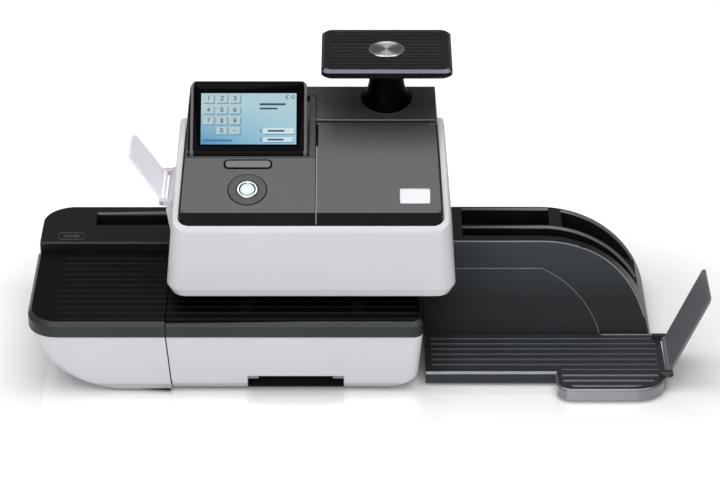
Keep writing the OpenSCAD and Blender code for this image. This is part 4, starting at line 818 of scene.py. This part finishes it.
# Black ABS: satin on top, with painted shade that makes the sides deep black, and a front
# chamfer that is partly a pale strip of its own and partly a painted reflection of the sky.
PLATFORM = moulded("black_platform_abs", "#0a0f10", "#0f1415", 0.36, 0.6, 0.01, 0.35)
PLATFORM_SIDE_SHADE = moulded("black_platform_side_painted_shade", "#030404", "#060707", 0.45, 0.6, 0.01, 0.08)
PALE_STRIP_AND_REFLECTION = moulded("lavender_silver_strip_and_painted_reflection", "#5f6072", "#6a6b7e", 0.4, 0.5, 0.006)
TURNED = turned("turned_aluminium", "#a2a3a1", "#c0c1be", 0.42, (NECK_X, NECK_Y))


def platform_chamfer(mid, normal):
    """True for the chamfer along the platform's front and front corners: pale strip and painted reflection.
    """
    return 0.4 < normal.z < 0.9 and normal.y < -0.3 and mid.z > 278


dress("scale_neck", NECK_AND_SHADOW_BLACK, 0.6)
dress("load_cell", ALUMINIUM, 0.3, 2)
dress("platform_stem", STEEL, 0.3, 2)
# The platform's sides are drawn deeper black than its top: painted shade.
dress("weigh_platform", PLATFORM, 0.4, zones=[(PALE_STRIP_AND_REFLECTION, platform_chamfer),
                                             (PLATFORM_SIDE_SHADE, lambda mid, normal: abs(normal.z) < 0.4)])
dress("platform_disc", TURNED, 0.25, 3)


# Catch tray: a black block with two pockets and a coved chute behind a glossy ribbed
# floor, and a grey flap on a pin that closes its end.

# Black ABS in several finishes: dull on the chute, drawn lighter toward its top as painted
# light, glossy on floor and lip. The greys on ribs, edges and the lip's front are painted
# highlights. The flap is a satin grey.
CHUTE_PAINTED_LIGHT = moulded("black_chute_abs_painted_light", "#191c1e", "#1f2225", 0.66, 0.6, 0.012, 0.15)
toward(CHUTE_PAINTED_LIGHT, "#474c50", between(CHUTE_PAINTED_LIGHT, axes_of(CHUTE_PAINTED_LIGHT)["Z"], 30, 78))
# Thin pale lines on the chute panel's edges and the block's front edge are painted highlights.
LINE_HIGHLIGHT_GREY = moulded("pale_panel_edge_painted_highlight", "#77797c", "#828487", 0.4, 0.6, 0.004)
TRAY_GLOSS = moulded("black_gloss_abs", "#212427", "#282b2e", 0.24, 0.8, 0.005, 0.5)
# Rib tops drawn lighter than the floor: painted highlight.
RIB_HIGHLIGHT_GREY = moulded("rib_tops_painted_highlight", "#4a4f53", "#565b5f", 0.3, 0.8, 0.005)
# The lip's front and rounded edge are drawn lighter grey under a clear coat: painted highlight.
LIP_HIGHLIGHT = moulded("grey_lip_painted_highlight", "#565b63", "#60656d", 0.2, 0.8, 0.003, 0.6)
shader_of(LIP_HIGHLIGHT).inputs["Coat Weight"].default_value = 1.0
shader_of(LIP_HIGHLIGHT).inputs["Coat IOR"].default_value = 1.9
shader_of(LIP_HIGHLIGHT).inputs["Coat Roughness"].default_value = 0.1
FLAP_GREY = moulded("grey_satin_flap", "#626167", "#6c6b71", 0.34, 0.7, 0.005)


TRAY_Z = 15
COVE_R, COVE_Y = 62, -22
POCKET_BACKS = (71, 110)


def above_tray(a, b):
    """True for an edge well above the tray's floor."""
    return min(a.z, b.z) > TRAY_Z + 5


def pocket_edge(a, b):
    """True for the rear edges of the block's pockets."""
    return above_tray(a, b) and any(abs(a.y - y) < 0.3 and abs(b.y - y) < 0.3 for y in POCKET_BACKS)


def wall_y(z):
    """Front of the block's wall at a height: upright above, coved below."""
    drop = min(max(TRAY_Z + COVE_R - z, 0), COVE_R)
    return COVE_Y + math.sqrt(COVE_R ** 2 - drop ** 2)


def wall_top(a, b):
    """True for the edge where the block's wall meets its top."""
    return above_tray(a, b) and all(abs(p.y - wall_y(p.z)) < 0.3 for p in (a, b))


def tray_lip(a, b):
    """True for the floor's upper edge along the front and round the foot."""
    return all(abs(p.z - TRAY_Z) < 0.1 and p.y < -96 and not (p.x > 285 and p.y > -110) for p in (a, b))


def lip_face(mid, normal):
    """True for the foot's face and the rounded edge all along the front: painted highlight."""
    return normal.y < 0.3 and mid.x < 293 and (mid.y < -100 and normal.z < 0.9
                                               or mid.y < -93 and 0.05 < normal.z < 0.97)


def block_sheen(mid, normal):
    """True for the rounded rear edges of the pockets, which get a painted highlight."""
    return any(y - 1 < mid.y < y + 4 for y in POCKET_BACKS) and normal.y < -0.15 and normal.z > 0.12


def front_sheen(mid, normal):
    """True for the thin rounded edge where wall and top meet, drawn pale: painted highlight."""
    flush = abs(mid.y - wall_y(mid.z)) < 1.3 and -0.97 < normal.y < -0.2
    return flush and (normal.x > 0.1 or mid.z > 78 and normal.z > 0.12)


def panel_edge(mid, normal):
    """True for the panel's thin upper and right edges, drawn pale: painted highlight."""
    return normal.x > 0.12 or (normal.z > 0.95 and mid.z > 57)


dress("tray_block", BLOCK_BLACK, 0.3, round_edges=[(1.0, 3, wall_top), (2.2, 1, pocket_edge)],
      zones=[(CHUTE_PAINTED_LIGHT, lambda mid, normal: mid.y < 40.2 and normal.y < -0.1), (EDGE_HIGHLIGHT_GREY, block_sheen),
             (LINE_HIGHLIGHT_GREY, front_sheen)])
dress("chute_panel", CHUTE_PAINTED_LIGHT, 0.3, zones=[(LINE_HIGHLIGHT_GREY, panel_edge)])
dress("tray_floor", TRAY_GLOSS, 0.3, round_edges=[(2.4, 4, tray_lip)],
      zones=[(RIB_HIGHLIGHT_GREY, lambda mid, normal: abs(mid.z - TRAY_Z - 1) < 0.2 and normal.z > 0.9),
             (DECK_BAND, lambda mid, normal: -100 < mid.y < -93 and normal.y < -0.9),
             (LIP_HIGHLIGHT, lip_face)])
# A pale strip along the floor's rear edge: painted highlight.
bead = [(236, -25.4), (287, -25.4), (287, -24.2), (236, -24.2)]
put("floor_rear_highlight_bead", [plate(bead, -0.2, 0.5, flat(TRAY_Z), LINE_HIGHLIGHT_GREY)], "machine")
dress("stop_flap", FLAP_GREY, 0.4)
dress("flap_pin", SHAFT_BLACK, 0.15, 2)


# Label tray: a thin white leaf on a moulded bracket at the head's left side, hinged on
# a plated pin so that it folds up against the head.

dress("label_bracket", WHITE_ABS, 0.6)
dress("label_pin", GREY_PIN_AND_SEAM_HIGHLIGHT, 0.15, 2)
# Thin white ABS, drawn whiter than the hood.
LEAF_WHITE = moulded("bright_white_abs", "#eeeaf4", "#f3f0f7", 0.5, 0.5, 0.01)
dress("label_tray", LEAF_WHITE, 0.3)


# Stage: plain pale floor that fades to white away from the machine, soft studio light
# from above and in front, camera at the photograph's angle.

reach = 30.0
floor_mesh = bpy.data.meshes.new("floor")
floor_mesh.from_pydata([(-reach, -reach, 0), (reach, -reach, 0), (reach, reach, 0), (-reach, reach, 0)], [],
                       [(0, 1, 2, 3)])
floor = bpy.data.objects.new("floor", floor_mesh)
bpy.context.collection.objects.link(floor)
floor_mat, floor_tree, floor_shader, floor_where = blank("pale_glossy_floor")
under = (290 * MM, 80 * MM, 0)
apart = add(floor_tree, "ShaderNodeVectorMath", {"operation": "ABSOLUTE"}, {0: floor_where})
beyond = add(floor_tree, "ShaderNodeVectorMath", {"operation": "SUBTRACT", 1: under},
             {0: apart.outputs["Vector"]})
past = add(floor_tree, "ShaderNodeVectorMath", {"operation": "MAXIMUM", 1: (0, 0, 0)},
           {0: beyond.outputs["Vector"]})
floor_far = add(floor_tree, "ShaderNodeVectorMath", {"operation": "LENGTH"}, {0: past.outputs["Vector"]})
fade = add(floor_tree, "ShaderNodeMapRange", {"From Min": 0.0, "From Max": 0.2, "To Min": 0.0, "To Max": 0.6},
           {"Value": floor_far.outputs["Value"]})
floor_tree.links.new(fade.outputs["Result"], floor_shader.inputs["Emission Strength"])
floor_shader.inputs["Emission Color"].default_value = srgb("#ffffff")
floor_shader.inputs["Base Color"].default_value = srgb("#f6f6f7")
floor_shader.inputs["Roughness"].default_value = 0.16
floor_shader.inputs["Coat Weight"].default_value = 1.0
floor_shader.inputs["Coat IOR"].default_value = 2.4
floor_shader.inputs["Coat Roughness"].default_value = 0.06
floor_mesh.materials.append(floor_mat)

world = bpy.data.worlds.new("studio")
bpy.context.scene.world = world
world.use_nodes = True
sky = world.node_tree
back = sky.nodes["Background"]
split = add(sky, "ShaderNodeSeparateXYZ", None, {0: add(sky, "ShaderNodeTexCoord").outputs["Generated"]})
turn = add(sky, "ShaderNodeMapRange", {"From Min": -1.0, "From Max": 1.0}, {"Value": split.outputs["Y"]})
ramp = add(sky, "ShaderNodeValToRGB", None, {"Fac": turn.outputs["Result"]})
ramp.color_ramp.elements[0].position = 0.1
ramp.color_ramp.elements[0].color = (1.0, 1.0, 1.02, 1)
ramp.color_ramp.elements[1].position = 0.28
ramp.color_ramp.elements[1].color = (0.3, 0.3, 0.31, 1)
sky.links.new(ramp.outputs["Color"], back.inputs["Color"])
back.inputs["Strength"].default_value = 0.6


def softbox(name, place, aim, size, power):
    """Large square lamp that points at a place."""
    data = bpy.data.lights.new(name, "AREA")
    data.shape = "RECTANGLE"
    data.size, data.size_y = size
    data.energy = power
    lamp = bpy.data.objects.new(name, data)
    lamp.location = place
    lamp.rotation_euler = (Vector(aim) - Vector(place)).to_track_quat("-Z", "Y").to_euler()
    bpy.context.collection.objects.link(lamp)


softbox("top_softbox", (0.0, 0.11, 2.0), (0, 0.11, 0), (2.6, 1.02), 33)
softbox("front_softbox", (-0.6, -3.0, 1.6), (0, 0, 0.1), (2.4, 1.6), 32)
softbox("upper_strip", (0.0, -1.1, 2.05), (0, 0, 0.1), (2.6, 0.4), 9)

cam_data = bpy.data.cameras.new("photo_camera")
cam_data.sensor_width = 36
cam_data.lens = 153.4
cam_data.clip_end = 100
camera = bpy.data.objects.new("photo_camera", cam_data)
camera.location = (-0.008, -2.693, 1.607)
camera.rotation_euler = (math.radians(90 - 29.06), 0, 0)
bpy.context.collection.objects.link(camera)
bpy.context.scene.camera = camera
bpy.context.scene.view_settings.view_transform = "Standard"
